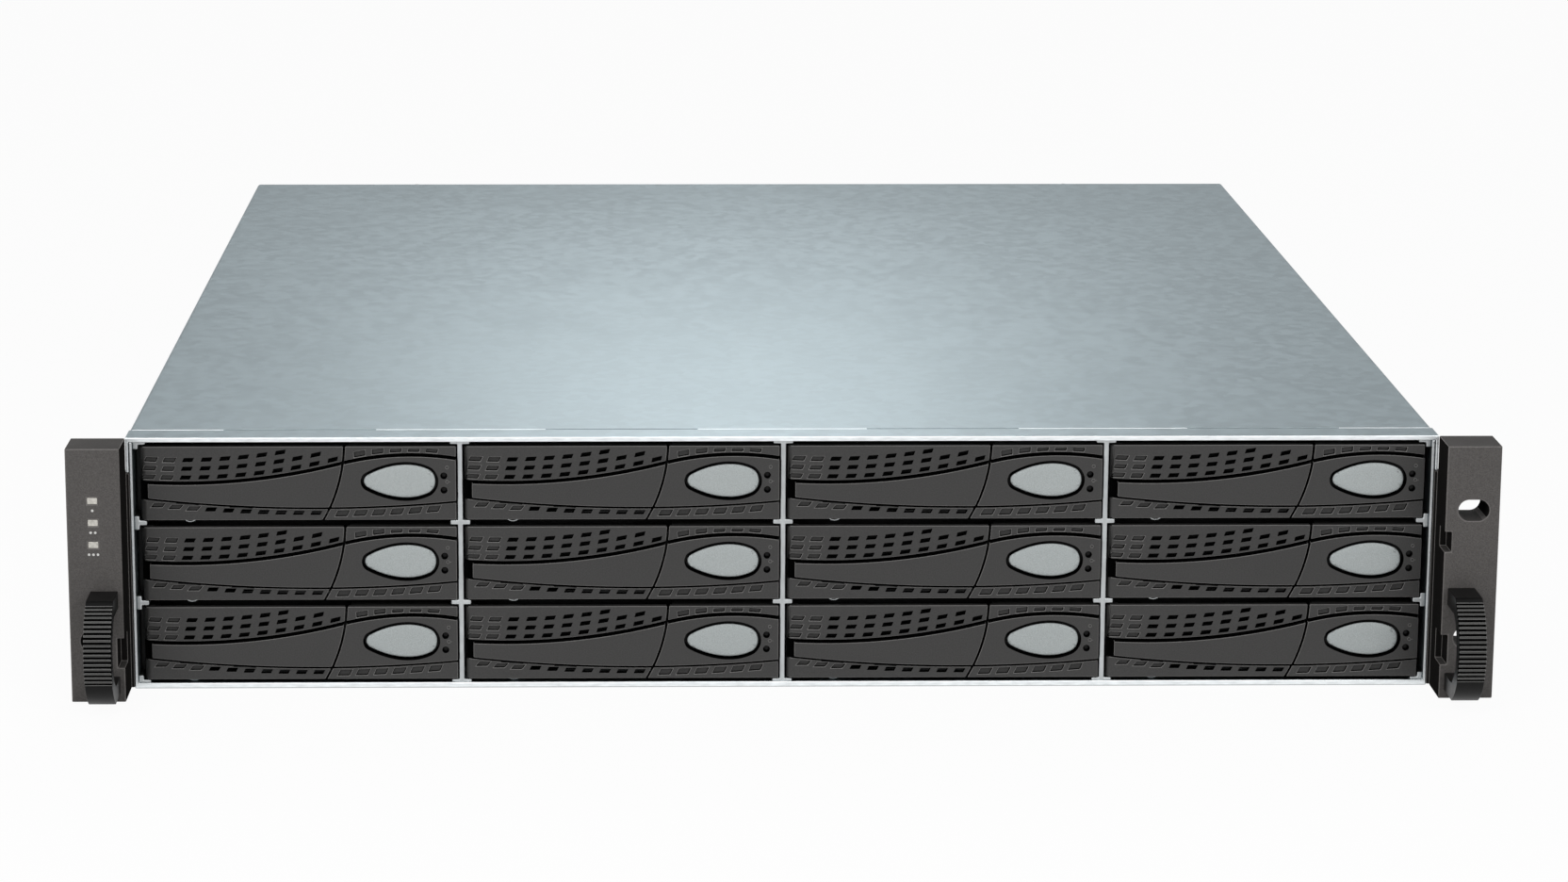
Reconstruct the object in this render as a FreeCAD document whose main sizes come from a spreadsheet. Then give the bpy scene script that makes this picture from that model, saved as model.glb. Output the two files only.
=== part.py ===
import FreeCAD, Part
import math
import operator
import os

import Sketcher

V = FreeCAD.Vector
DOC = FreeCAD.newDocument("StorageArray")
SHEET = DOC.addObject("Spreadsheet::Sheet", "Sizes")

# The bays stand in four columns of three rows
COLUMNS = 4
ROWS = 3

# Driving sizes in millimetres and degrees
SIZES = [
    # Enclosure
    ("chassis_width", 446.0),
    ("chassis_depth", 540.0),
    ("chassis_height", 88.0),
    ("steel", 1.2),
    ("cover_steel", 1.0),
    ("cover_gap", 0.15),
    ("cover_flange", 12.0),
    ("front_lip", 1.0),
    ("floor_lip", 2.0),
    ("rail_lip", 1.6),
    ("rail_depth", 12.5),
    ("rail_seam", 0.3),
    ("tongue_width", 50.0),
    ("tongue_reach", 8.0),
    ("tongue_step", 3.5),
    # Bays
    ("web", 1.8),
    ("runner", 1.6),
    ("runner_reach", 2.5),
    ("cage_depth", 190.0),
    ("side_gap", 0.45),
    ("row_gap", 0.25),
    # Carrier front
    ("edge_gap", 0.1),
    ("band_proud", 0.8),
    ("front_skin", 2.6),
    ("skirt_depth", 9.0),
    ("skirt_wall", 1.4),
    ("seam_low", 64.3),
    ("seam_high", 70.05),
    ("seam_radius", 36.0),
    ("seam_gap", 0.4),
    ("band_left", 2.6),
    ("band_upper_left", 12.85),
    ("band_lower_left", 7.5),
    ("band_turn", 67.0),
    ("band_turn_height", 19.0),
    ("band_upper_right", 21.0),
    ("band_lower_right", 6.4),
    ("band_hollow_radius", 217.0),
    ("band_crown_radius", 96.0),
    ("band_lower_radius", 508.0),
    # Lever hinge and vents
    ("knuckle_radius", 2.2),
    ("hinge_play", 0.3),
    ("cradle_width", 4.0),
    ("catch_reach", 3.5),
    ("catch_height", 6.0),
    ("catch_inset", 2.0),
    ("vent_length", 3.4),
    ("vent_height", 1.4),
    ("vent_slant", 0.35),
    ("vent_first", 15.5),
    ("vent_pitch", 6.25),
    ("vent_shift", 0.5),
    ("vent_offset", 2.3),
    ("vent_row", 3.05),
    ("vent_low_first", 23.9),
    ("vent_low_pitch", 5.95),
    ("vent_low_offset", 1.8),
    ("vent_margin", 1.5),
    # Release button
    ("button_right", 7.0),
    ("button_height", 13.55),
    ("button_length", 24.2),
    ("button_nose", 2.6),
    ("button_blunt", 4.4),
    ("button_cheek", 22.0),
    ("button_set", 0.2),
    ("button_ring", 0.9),
    ("button_flange", 0.8),
    ("button_flange_height", 14.6),
    ("button_flange_depth", 1.2),
    ("button_play", 0.3),
    ("button_stem", 6.0),
    # Tray and drive
    ("tray_rail", 2.5),
    ("tray_rail_gap", 0.73),
    ("tray_rail_height", 22.0),
    ("tray_strip", 20.0),
    ("tray_wall", 2.0),
    ("tray_floor", 1.2),
    ("drive_overhang", 7.0),
    ("drive_length", 147.0),
    ("drive_headroom", 0.35),
    # Rack ears
    ("ear_width", 18.3),
    ("rack_slot_inset", 8.75),
    ("rack_hole_drop", 22.25),
    ("rack_hole_low", 66.7),
    ("rack_slot_radius", 3.6),
    ("rack_slot_run", 3.2),
    ("ear_depth", 16.5),
    ("ear_tab", 2.0),
    ("ear_tab_length", 28.0),
    ("ear_tab_low", 0.4),
    ("ear_tab_height", 75.3),
    ("notch_depth", 2.4),
    ("notch_reach", 9.0),
    ("notch_low", 12.0),
    ("notch_height", 10.3),
    ("notch_drop", 29.7),
    ("notch_drop_height", 6.9),
    ("lens_width", 3.4),
    ("lens_height", 2.2),
    ("lens_depth", 8.0),
    ("lens_drop", 18.0),
    ("lens_pitch", 7.6),
    # Ear handles
    ("handle_width", 9.2),
    ("handle_inset", 6.4),
    ("handle_base", 3.0),
    ("handle_height", 35.8),
    ("handle_leg", 13.18),
    ("handle_bow", 20.0),
    ("handle_strap", 6.0),
    ("handle_inner_bow", 14.0),
    ("rib_depth", 0.7),
    ("rib_gap", 0.8),
    ("rib_angle", 77.0),
    # Midplane
    ("board", 2.4),
    ("board_gap", 1.0),
    ("plug_width", 42.0),
    ("plug_height", 8.0),
    ("plug_reach", 11.0),
    ("plug_rise", 3.0),
    ("plug_clearance", 3.0),
    ("window_width", 76.0),
    ("window_rise", 14.0),
    ("window_height", 9.0),
    # Rear modules
    ("module_gap", 0.5),
    ("module_proud", 1.5),
    ("module_length", 230.0),
    ("rear_rail_height", 8.0),
    ("rear_rail_leg", 14.0),
    ("power_width", 104.0),
    ("grip_width", 8.0),
    ("grip_reach", 30.0),
    ("grip_bar", 6.0),
    ("grip_corner", 6.0),
    ("grip_inner_corner", 4.0),
    ("fan_bore", 29.0),
    ("fan_depth", 26.0),
    ("fan_hub", 10.0),
    ("fan_tip", 27.5),
    ("fan_blade", 1.6),
    ("fan_hub_length", 16.0),
    ("fan_blade_length", 12.0),
    ("fan_blade_twist", 10.0),
    ("fan_inset", 5.0),
    ("port_inset", 15.5),
    ("inlet_rise", 15.0),
    ("switch_rise", 40.0),
    ("latch_drop", 10.0),
    ("grip_inset", 33.0),
    ("grip_margin", 10.0),
    ("inlet_width", 24.6),
    ("inlet_height", 16.6),
    ("inlet_depth", 15.0),
    ("switch_width", 12.0),
    ("switch_height", 18.0),
    ("switch_gap", 0.6),
    ("switch_tilt", 10.0),
    ("switch_depth", 10.0),
    ("switch_pivot", 1.0),
    ("latch_width", 14.0),
    ("latch_height", 10.0),
    ("latch_travel", 3.0),
    ("latch_gap", 0.4),
    ("latch_reach", 12.0),
    ("latch_depth", 5.0),
    ("latch_blade", 2.5),
    ("sfp_inset", 32.0),
    ("sfp_pitch", 20.0),
    ("jack_inset", 80.0),
    ("sas_inset", 116.0),
    ("sfp_width", 14.2),
    ("sfp_height", 9.4),
    ("sfp_depth", 45.0),
    ("jack_width", 11.8),
    ("jack_height", 8.2),
    ("jack_depth", 14.0),
    ("sas_width", 27.0),
    ("sas_height", 8.0),
    ("eject_length", 62.0),
    ("eject_height", 12.0),
    ("eject_radius", 3.0),
    ("eject_inset", 12.0),
    ("eject_stand", 1.5),
    ("eject_lug", 2.5),
    ("eject_gap", 0.3),
    ("screw_head", 4.0),
    ("screw_length", 6.0),
    ("screw_spread", 150.0),
]


class Size:
    """A length that keeps its value together with the expression that yields it from the sheet."""

    def __init__(self, text, value):
        self.text = text
        self.value = float(value)

    def __add__(self, other):
        return combine(self, "+", other)

    def __radd__(self, other):
        return combine(other, "+", self)

    def __sub__(self, other):
        return combine(self, "-", other)

    def __rsub__(self, other):
        return combine(other, "-", self)

    def __mul__(self, other):
        return combine(self, "*", other)

    def __rmul__(self, other):
        return combine(other, "*", self)

    def __truediv__(self, other):
        return combine(self, "/", other)

    def __neg__(self):
        return combine(0, "-", self)


SIGNS = {"+": operator.add, "-": operator.sub, "*": operator.mul, "/": operator.truediv}


def size(value):
    if isinstance(value, Size):
        return value
    number = float(value)
    return Size(f"({number})" if number < 0 else f"{number}", number)


def combine(first, sign, second):
    first = size(first)
    second = size(second)
    value = SIGNS[sign](first.value, second.value)
    return Size(f"({first.text} {sign} {second.text})", value)


def root(value):
    return Size(f"sqrt({value.text})", math.sqrt(value.value))


class Names:
    """The sheet's sizes by name."""


S = Names()
for line, (alias, number) in enumerate(SIZES, start=1):
    SHEET.set(f"A{line}", str(number))
    SHEET.setAlias(f"A{line}", alias)
DOC.recompute()
for alias, number in SIZES:
    setattr(S, alias, Size(f"Sizes.{alias}", SHEET.get(alias)))


def bind(thing, prop, value):
    thing.setExpression(prop, size(value).text)


def place(thing, x=0, y=0, z=0):
    bind(thing, "Placement.Base.x", x)
    bind(thing, "Placement.Base.y", y)
    bind(thing, "Placement.Base.z", z)
    return thing


def new_body(name):
    body = DOC.addObject("PartDesign::Body", name)
    body.Label = name
    return body


def origin_part(body, role):
    return [feature for feature in body.Origin.OriginFeatures if feature.Role == role][0]


def arc_between(start, end, radius):
    """Arc from start to end that bulges to the right of the way for a positive radius."""
    way = end - start
    reach = abs(radius)
    rise = math.sqrt(max(reach * reach - way.Length**2 / 4, 0))
    left = V(-way.y, way.x, 0).normalize()
    centre = (start + end) / 2 + left * (rise if radius > 0 else -rise)
    turns = [math.atan2(p.y - centre.y, p.x - centre.x) for p in (start, end)]
    if radius < 0:
        turns.reverse()
    return Part.ArcOfCircle(Part.Circle(centre, V(0, 0, 1), reach), turns[0], turns[1])


def outline(body, plane, level, loops):
    """Sketch on an origin plane of the body, at a level along that plane's axis.

    A loop is a list of corners, (x, y) or (x, y, radius) where an arc leads on to the next corner,
    or ("circle", x, y, radius).
    """
    sketch = body.newObject("Sketcher::SketchObject", "Outline")
    sketch.AttachmentSupport = [(origin_part(body, plane), "")]
    sketch.MapMode = "FlatFace"
    bind(sketch, "AttachmentOffset.Base.z", -size(level) if plane == "XZ_Plane" else level)
    bound = []
    for loop in loops:
        if loop[0] == "circle":
            centre = [size(value) for value in loop[1:]]
            circle = Part.Circle(V(centre[0].value, centre[1].value, 0), V(0, 0, 1), centre[2].value)
            index = sketch.addGeometry(circle, False)
            bound.append(("DistanceX", -1, 1, index, 3, centre[0]))
            bound.append(("DistanceY", -1, 1, index, 3, centre[1]))
            bound.append(("Radius", index, centre[2]))
            continue
        corners = [[size(value) for value in corner] for corner in loop]
        ends = []
        for number, corner in enumerate(corners):
            after = corners[(number + 1) % len(corners)]
            start = V(corner[0].value, corner[1].value, 0)
            end = V(after[0].value, after[1].value, 0)
            if len(corner) == 2:
                index = sketch.addGeometry(Part.LineSegment(start, end), False)
                ends.append((index, 1, 2))
                continue
            index = sketch.addGeometry(arc_between(start, end, corner[2].value), False)
            ends.append((index, 1, 2) if corner[2].value > 0 else (index, 2, 1))
            way = end - start
            if way.Length < 2 * abs(corner[2].value) - 1e-6:
                bound.append(("Radius", index, corner[2] if corner[2].value > 0 else -corner[2]))
            elif abs(way.x) < abs(way.y):
                bound.append(("DistanceX", -1, 1, index, 3, corner[0]))
            else:
                bound.append(("DistanceY", -1, 1, index, 3, corner[1]))
        for number, (index, first, last) in enumerate(ends):
            after = ends[(number + 1) % len(ends)]
            sketch.addConstraint(Sketcher.Constraint("Coincident", index, last, after[0], after[1]))
            bound.append(("DistanceX", -1, 1, index, first, corners[number][0]))
            bound.append(("DistanceY", -1, 1, index, first, corners[number][1]))
    places = sketch.addConstraint([Sketcher.Constraint(*row[:-1], row[-1].value) for row in bound])
    for index, row in zip(places, bound):
        bind(sketch, f"Constraints[{index}]", row[-1])
    return sketch


def add(body, plane, low, high, *loops):
    """Pad the loops between two levels along the plane's axis."""
    sketch = outline(body, plane, low, loops)
    pad = body.newObject("PartDesign::Pad", "Pad")
    pad.Profile = sketch
    bind(pad, "Length", size(high) - low)
    pad.Reversed = plane == "XZ_Plane"
    body.Tip = pad
    return pad


def cut(body, plane, low, high, *loops):
    """Pocket the loops between two levels along the plane's axis."""
    sketch = outline(body, plane, low if plane == "XZ_Plane" else high, loops)
    pocket = body.newObject("PartDesign::Pocket", "Pocket")
    pocket.Profile = sketch
    bind(pocket, "Length", size(high) - low)
    body.Tip = pocket
    return pocket


def rectangle(x, y):
    return [(x[0], y[0]), (x[1], y[0]), (x[1], y[1]), (x[0], y[1])]


def block(name, x, y, z):
    box = DOC.addObject("Part::Box", name)
    for prop, span in (("Length", x), ("Width", y), ("Height", z)):
        bind(box, prop, size(span[1]) - span[0])
    return place(box, x[0], y[0], z[0])


def group(name, pieces, x=0, y=0, z=0):
    compound = DOC.addObject("Part::Compound", name)
    compound.Links = pieces
    return place(compound, x, y, z)


NODES = {}


def node(name, thing):
    thing.Label = name
    NODES[name] = thing
    return thing


# Shared levels: x to the right, y from front to rear, z up from the middle of the base
half = S.chassis_width / 2
front = S.chassis_depth / -2
rear = S.chassis_depth / 2
top = S.chassis_height
ceiling = top - S.cover_steel
tub_half = half - S.cover_steel - S.cover_gap
inner_half = tub_half - S.steel
floor = S.steel

bay_pitch = (inner_half * 2 - S.web) / COLUMNS
row_pitch = (ceiling - floor - S.runner) / ROWS
bay_width = bay_pitch - S.web
row_height = row_pitch - S.runner

# The first carrier sits in the top left bay
bay_left = S.web - inner_half
bay_low = floor + S.runner + row_pitch * (ROWS - 1)
left = bay_left + S.side_gap
low = bay_low + S.row_gap
width = bay_width - S.side_gap * 2
height = row_height - S.row_gap * 2

skin_front = front + S.band_proud
skin_back = skin_front + S.front_skin
skirt_back = front + S.skirt_depth
hinge_x = left + S.edge_gap + S.knuckle_radius
hinge_y = skin_front + S.knuckle_radius
board_front = front + S.cage_depth + S.board_gap
drive_back = board_front - S.plug_reach - S.plug_clearance


def chassis():
    tub = new_body("chassis_tub")
    wall_top = top - S.rail_lip
    add(tub, "XZ_Plane", front, rear, [
        (-tub_half, 0), (tub_half, 0), (tub_half, wall_top), (inner_half, wall_top),
        (inner_half, floor), (-inner_half, floor), (-inner_half, wall_top), (-tub_half, wall_top),
    ])
    add(tub, "XZ_Plane", front, front + S.front_lip,
        rectangle((-inner_half, inner_half), (floor, S.floor_lip)))
    node("chassis_tub", tub)

    rail = new_body("front_rail")
    rail_back = front + S.rail_depth
    add(rail, "YZ_Plane", -half, half, [
        (front, top - S.rail_lip), (front + S.front_lip, top - S.rail_lip),
        (front + S.front_lip, ceiling), (rail_back, ceiling), (rail_back, top), (front, top),
    ])
    for side in (-1, 1):
        spans = sorted([half * side, (half - S.cover_steel) * side], key=lambda s: s.value)
        add(rail, "XZ_Plane", front, rail_back, rectangle(spans, (top - S.cover_flange, ceiling)))
    node("front_rail", rail)


def divider(name, sides):
    """Web with runners to the given sides, about its own middle plane."""
    body = new_body(name)
    face = S.web / 2
    rows = []
    for level in range(ROWS + 1):
        base = floor + row_pitch * level
        rows.append((base, base + S.runner))

    def flank(side):
        if side not in sides:
            return [(face * side, floor), (face * side, ceiling)]
        points = []
        for level, (base, upper) in enumerate(rows):
            ledge = (face + S.runner_reach) * side
            points.extend([(face * side, base)] if level > 0 else [])
            points.extend([(ledge, base), (ledge, upper)])
            points.extend([(face * side, upper)] if level < ROWS else [])
        return points

    add(body, "XZ_Plane", front + S.front_lip, front + S.cage_depth, flank(1) + flank(-1)[::-1])
    return body


def bay_dividers():
    first = S.web / 2 - inner_half
    middle = divider("Divider", (-1, 1))
    pieces = [place(divider("LeftGuide", (1,)), x=first)]
    for number in range(1, COLUMNS):
        pieces.append(group(f"Divider{number}", [middle], x=first + bay_pitch * number))
    pieces.append(place(divider("RightGuide", (-1,)), x=first + bay_pitch * COLUMNS))
    node("bay_dividers", group("bay_dividers", pieces))


def cover():
    lid = new_body("Lid")
    start = front + S.rail_depth + S.rail_seam
    back = rear + S.cover_gap
    add(lid, "XZ_Plane", start, back + S.cover_steel, rectangle((-half, half), (ceiling, top)))
    add(lid, "XZ_Plane", back, back + S.cover_steel,
        rectangle((-half, half), (ceiling - S.rear_rail_height, ceiling)))
    flange = (top - S.cover_flange, ceiling)
    sides = [block("LeftFlange", (-half, S.cover_steel - half), (start, back), flange),
             block("RightFlange", (half - S.cover_steel, half), (start, back), flange)]
    # Tongues welded under the front edge, which slide under the front rail
    tongue = new_body("Tongue")
    across = (S.tongue_width / -2, S.tongue_width / 2)
    under = ceiling - S.cover_gap
    seat = start + S.tongue_step
    add(tongue, "XY_Plane", under - S.cover_steel, under, rectangle(across, (start - S.tongue_reach, seat)))
    add(tongue, "XY_Plane", under, ceiling, rectangle(across, (start + S.cover_gap, seat)))
    tongues = [group(f"Tongue{column}", [tongue], bay_left + bay_width / 2 + bay_pitch * column)
               for column in range(COLUMNS)]
    node("top_cover", group("top_cover", [lid] + sides + tongues))

    rail = new_body("rear_rail")
    rail_top = ceiling - S.cover_gap
    add(rail, "YZ_Plane", -inner_half, inner_half, [
        (rear - S.rear_rail_leg, rail_top - S.steel), (rear - S.steel, rail_top - S.steel),
        (rear - S.steel, ceiling - S.rear_rail_height), (rear, ceiling - S.rear_rail_height),
        (rear, rail_top), (rear - S.rear_rail_leg, rail_top),
    ])
    node("rear_rail", rail)

    screw = new_body("Thumbscrew")
    seat = back + S.cover_steel
    screw_height = ceiling - S.rear_rail_height / 2
    add(screw, "XZ_Plane", seat, seat + S.screw_length, ("circle", 0, 0, S.screw_head))
    pair = [group(f"Thumbscrew{side + 2}", [screw], S.screw_spread * side, 0, screw_height)
            for side in (-1, 1)]
    node("cover_thumbscrews", group("cover_thumbscrews", pair))


def band():
    """Outline of the raised wave band over the whole carrier front."""
    start = left + S.band_left
    end = left + width
    turn = left + S.band_turn
    return [
        (start, low + S.band_lower_left, S.band_lower_radius),
        (end, low + S.band_lower_right),
        (end, low + S.band_upper_right, S.band_crown_radius),
        (turn, low + S.band_turn_height, -S.band_hollow_radius),
        (start, low + S.band_upper_left),
    ]


def arc_height(start, end, radius, reach):
    """Height at reach of the shallow arc through two points, with its middle above for radius > 0."""
    arc = arc_between(V(*start, 0), V(*end, 0), radius)
    centre = arc.Center
    rise = math.sqrt(arc.Radius**2 - (reach - centre.x) ** 2)
    return centre.y - rise if radius > 0 else centre.y + rise


def vent_slots():
    """Slanted slots in rows that follow the band's two edges."""
    upper = ((S.band_left.value, S.band_upper_left.value), (S.band_turn.value, S.band_turn_height.value))
    lower = ((S.band_left.value, S.band_lower_left.value), (width.value, S.band_lower_right.value))
    seam = ((0, S.seam_low.value), (height.value, S.seam_high.value))
    margin = S.vent_margin.value
    half_length = S.vent_length.value / 2
    half_height = S.vent_height.value / 2
    limit = height.value - margin - half_height

    def slot(reach, rise, slope):
        along = V(math.cos(slope), math.sin(slope), 0)
        across = V(-math.sin(slope), math.cos(slope), 0)
        corners = []
        for run, step in ((-1, -1), (1, -1), (1, 1), (-1, 1)):
            shift = along * (run * half_length + step * S.vent_slant.value) + across * (step * half_height)
            corners.append(V(left.value + reach + shift.x, front.value, low.value + rise + shift.y))
        face = Part.Face(Part.makePolygon(corners + corners[:1]))
        return face.extrude(V(0, S.skirt_depth.value, 0))

    def fits(reach, rise):
        free = arc_height((seam[0][0], seam[0][1]), (seam[1][0], seam[1][1]), -S.seam_radius.value, rise)
        return rise < limit and reach + half_length + 2 * margin < free

    slots = []
    for row in range(3):
        for column in range(12):
            reach = S.vent_first.value + S.vent_pitch.value * column + S.vent_shift.value * row
            if reach > S.band_turn.value:
                continue
            wave = arc_height(*upper, S.band_hollow_radius.value, reach)
            ahead = arc_height(*upper, S.band_hollow_radius.value, reach + 0.1)
            rise = wave + S.vent_offset.value + S.vent_row.value * row
            if fits(reach, rise):
                slots.append(slot(reach, rise, math.atan2(ahead - wave, 0.1)))
    for column in range(12):
        reach = S.vent_low_first.value + S.vent_low_pitch.value * column
        wave = arc_height(*lower, S.band_lower_radius.value, min(reach, width.value))
        rise = wave - S.vent_low_offset.value
        if fits(reach, rise):
            slots.append(slot(reach, rise, 0))
    feature = DOC.addObject("Part::Feature", "VentSlots")
    feature.Shape = Part.makeCompound(slots)
    return feature


def lever():
    body = new_body("LeverBody")
    far = left + width + 1
    add(body, "XZ_Plane", skin_front, skin_back, rectangle((hinge_x, left + width), (low, low + height)))
    add(body, "XY_Plane", low, low + height, ("circle", hinge_x, hinge_y, S.knuckle_radius))
    add(body, "XZ_Plane", front, skin_front + S.front_skin / 2, band())
    cut(body, "XZ_Plane", front - 1, skirt_back, [
        (left + S.seam_low, low), (far, low), (far, low + height),
        (left + S.seam_high, low + height, -S.seam_radius),
    ])
    catch = left + S.seam_low
    middle = low + height / 2
    rise = S.catch_height / 2
    add(body, "XZ_Plane", skin_back, skin_back + S.catch_reach,
        rectangle((catch - S.catch_inset * 2, catch - S.catch_inset), (middle - rise, middle + rise)))
    return body


def egg(grow):
    """Button outline, grown evenly: a small nose, a blunt end and two long cheeks."""
    nose_x = left + width - S.button_right - S.button_length + S.button_nose
    blunt_x = left + width - S.button_right - S.button_blunt
    level = low + S.button_height
    span = blunt_x - nose_x
    to_nose = S.button_cheek - S.button_nose
    to_blunt = S.button_cheek - S.button_blunt
    across = (to_nose * to_nose - to_blunt * to_blunt + span * span) / (span * 2)
    drop = root(to_nose * to_nose - across * across)
    nose = S.button_nose + grow
    blunt = S.button_blunt + grow
    cheek = S.button_cheek + grow
    nose_point = (nose_x - across * nose / to_nose, drop * nose / to_nose)
    blunt_point = (blunt_x + (span - across) * blunt / to_blunt, drop * blunt / to_blunt)
    return [
        (nose_point[0], level - nose_point[1], cheek),
        (blunt_point[0], level - blunt_point[1], blunt),
        (blunt_point[0], level + blunt_point[1], cheek),
        (nose_point[0], level + nose_point[1], nose),
    ]


button_x = left + width - S.button_right - S.button_length / 2
button_z = low + S.button_height


def bezel():
    body = new_body("BezelBody")
    start = left + S.seam_low - 6
    end = left + width
    add(body, "XZ_Plane", skin_front, skirt_back, rectangle((start, end), (low, low + height)))
    add(body, "XZ_Plane", front, skin_front + S.front_skin / 2, band())
    cut(body, "XZ_Plane", skin_back, skirt_back,
        rectangle((start - 1, end - S.skirt_wall), (low + S.skirt_wall, low + height - S.skirt_wall)))
    cut(body, "XZ_Plane", front - 1, skirt_back, egg(S.button_ring))
    cut(body, "XZ_Plane", front - 1, skirt_back, [
        (left - 1, low), (left + S.seam_low + S.seam_gap, low, S.seam_radius),
        (left + S.seam_high + S.seam_gap, low + height), (left - 1, low + height),
    ])
    return body


def button():
    body = new_body("ButtonBody")
    flange = skin_back + S.button_play
    flange_back = flange + S.button_flange_depth
    reach = S.button_length / 2 + S.button_ring + S.button_flange
    rise = S.button_flange_height / 2
    add(body, "XZ_Plane", flange, flange_back,
        rectangle((button_x - reach, button_x + reach), (button_z - rise, button_z + rise)))
    add(body, "XZ_Plane", front + S.button_set, flange, egg(0))
    stem = S.button_stem / 2
    add(body, "XZ_Plane", flange_back, skirt_back - S.button_play,
        rectangle((button_x - stem, button_x + stem), (button_z - stem, button_z + stem)))
    return body


def tray():
    body = new_body("TrayBody")
    outer = (bay_left + S.tray_rail_gap, bay_left + bay_width - S.tray_rail_gap)
    inner = (outer[0] + S.tray_rail, outer[1] - S.tray_rail)
    rail_start = hinge_y + S.knuckle_radius + 2
    strip_end = skirt_back + S.tray_strip
    rail_end = drive_back - S.drive_overhang
    add(body, "XY_Plane", low, low + S.tray_floor, rectangle((outer[0], inner[1]), (skirt_back, strip_end)))
    add(body, "XY_Plane", low, low + S.tray_rail_height,
        rectangle((outer[0], inner[0]), (rail_start, rail_end)),
        rectangle((inner[1], outer[1]), (skirt_back, rail_end)))
    # Wall behind the fixed half, with a hole for the button's stem
    add(body, "XZ_Plane", skirt_back, skirt_back + S.tray_wall,
        rectangle((left + S.seam_low + 3, inner[1]), (low, low + S.tray_rail_height)))
    hole = S.button_stem / 2 + 0.5
    cut(body, "XZ_Plane", skirt_back, skirt_back + S.tray_wall,
        rectangle((button_x - hole, button_x + hole), (button_z - hole, button_z + hole)))
    # Round seat that carries the lever's barrel from behind
    seat = S.knuckle_radius + S.hinge_play
    ends = (outer[0], outer[0] + S.cradle_width)
    depths = [hinge_y + root(seat * seat - (x - hinge_x) * (x - hinge_x)) for x in ends]
    add(body, "XY_Plane", low, low + S.tray_rail_height, [
        (ends[0], rail_start), (ends[0], depths[0], -seat), (ends[1], depths[1]), (ends[1], rail_start),
    ])
    return body


def carriers():
    inner = S.tray_rail_gap + S.tray_rail
    drive = block("Drive", (bay_left + inner, bay_left + bay_width - inner),
                  (drive_back - S.drive_length, drive_back),
                  (low, bay_low + row_height - S.drive_headroom + S.row_gap))
    carrier = group("Carrier", [tray(), bezel(), drive])
    vented = DOC.addObject("Part::Cut", "Lever")
    vented.Base = lever()
    vented.Tool = vent_slots()
    press = button()
    for row in range(ROWS):
        for column in range(COLUMNS):
            number = f"{row * COLUMNS + column + 1:02d}"
            shift = {"x": bay_pitch * column, "z": row_pitch * -row}
            for name, master in (("drive_carrier", carrier), ("carrier_lever", vented),
                                 ("release_button", press)):
                label = f"{name}_{number}"
                node(label, group(label, [master], **shift))


def ear_slot(x, z):
    run = S.rack_slot_run / 2
    radius = S.rack_slot_radius
    return [
        (x - run, z - radius), (x + run, z - radius, radius),
        (x + run, z + radius), (x - run, z + radius, radius),
    ]


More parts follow.
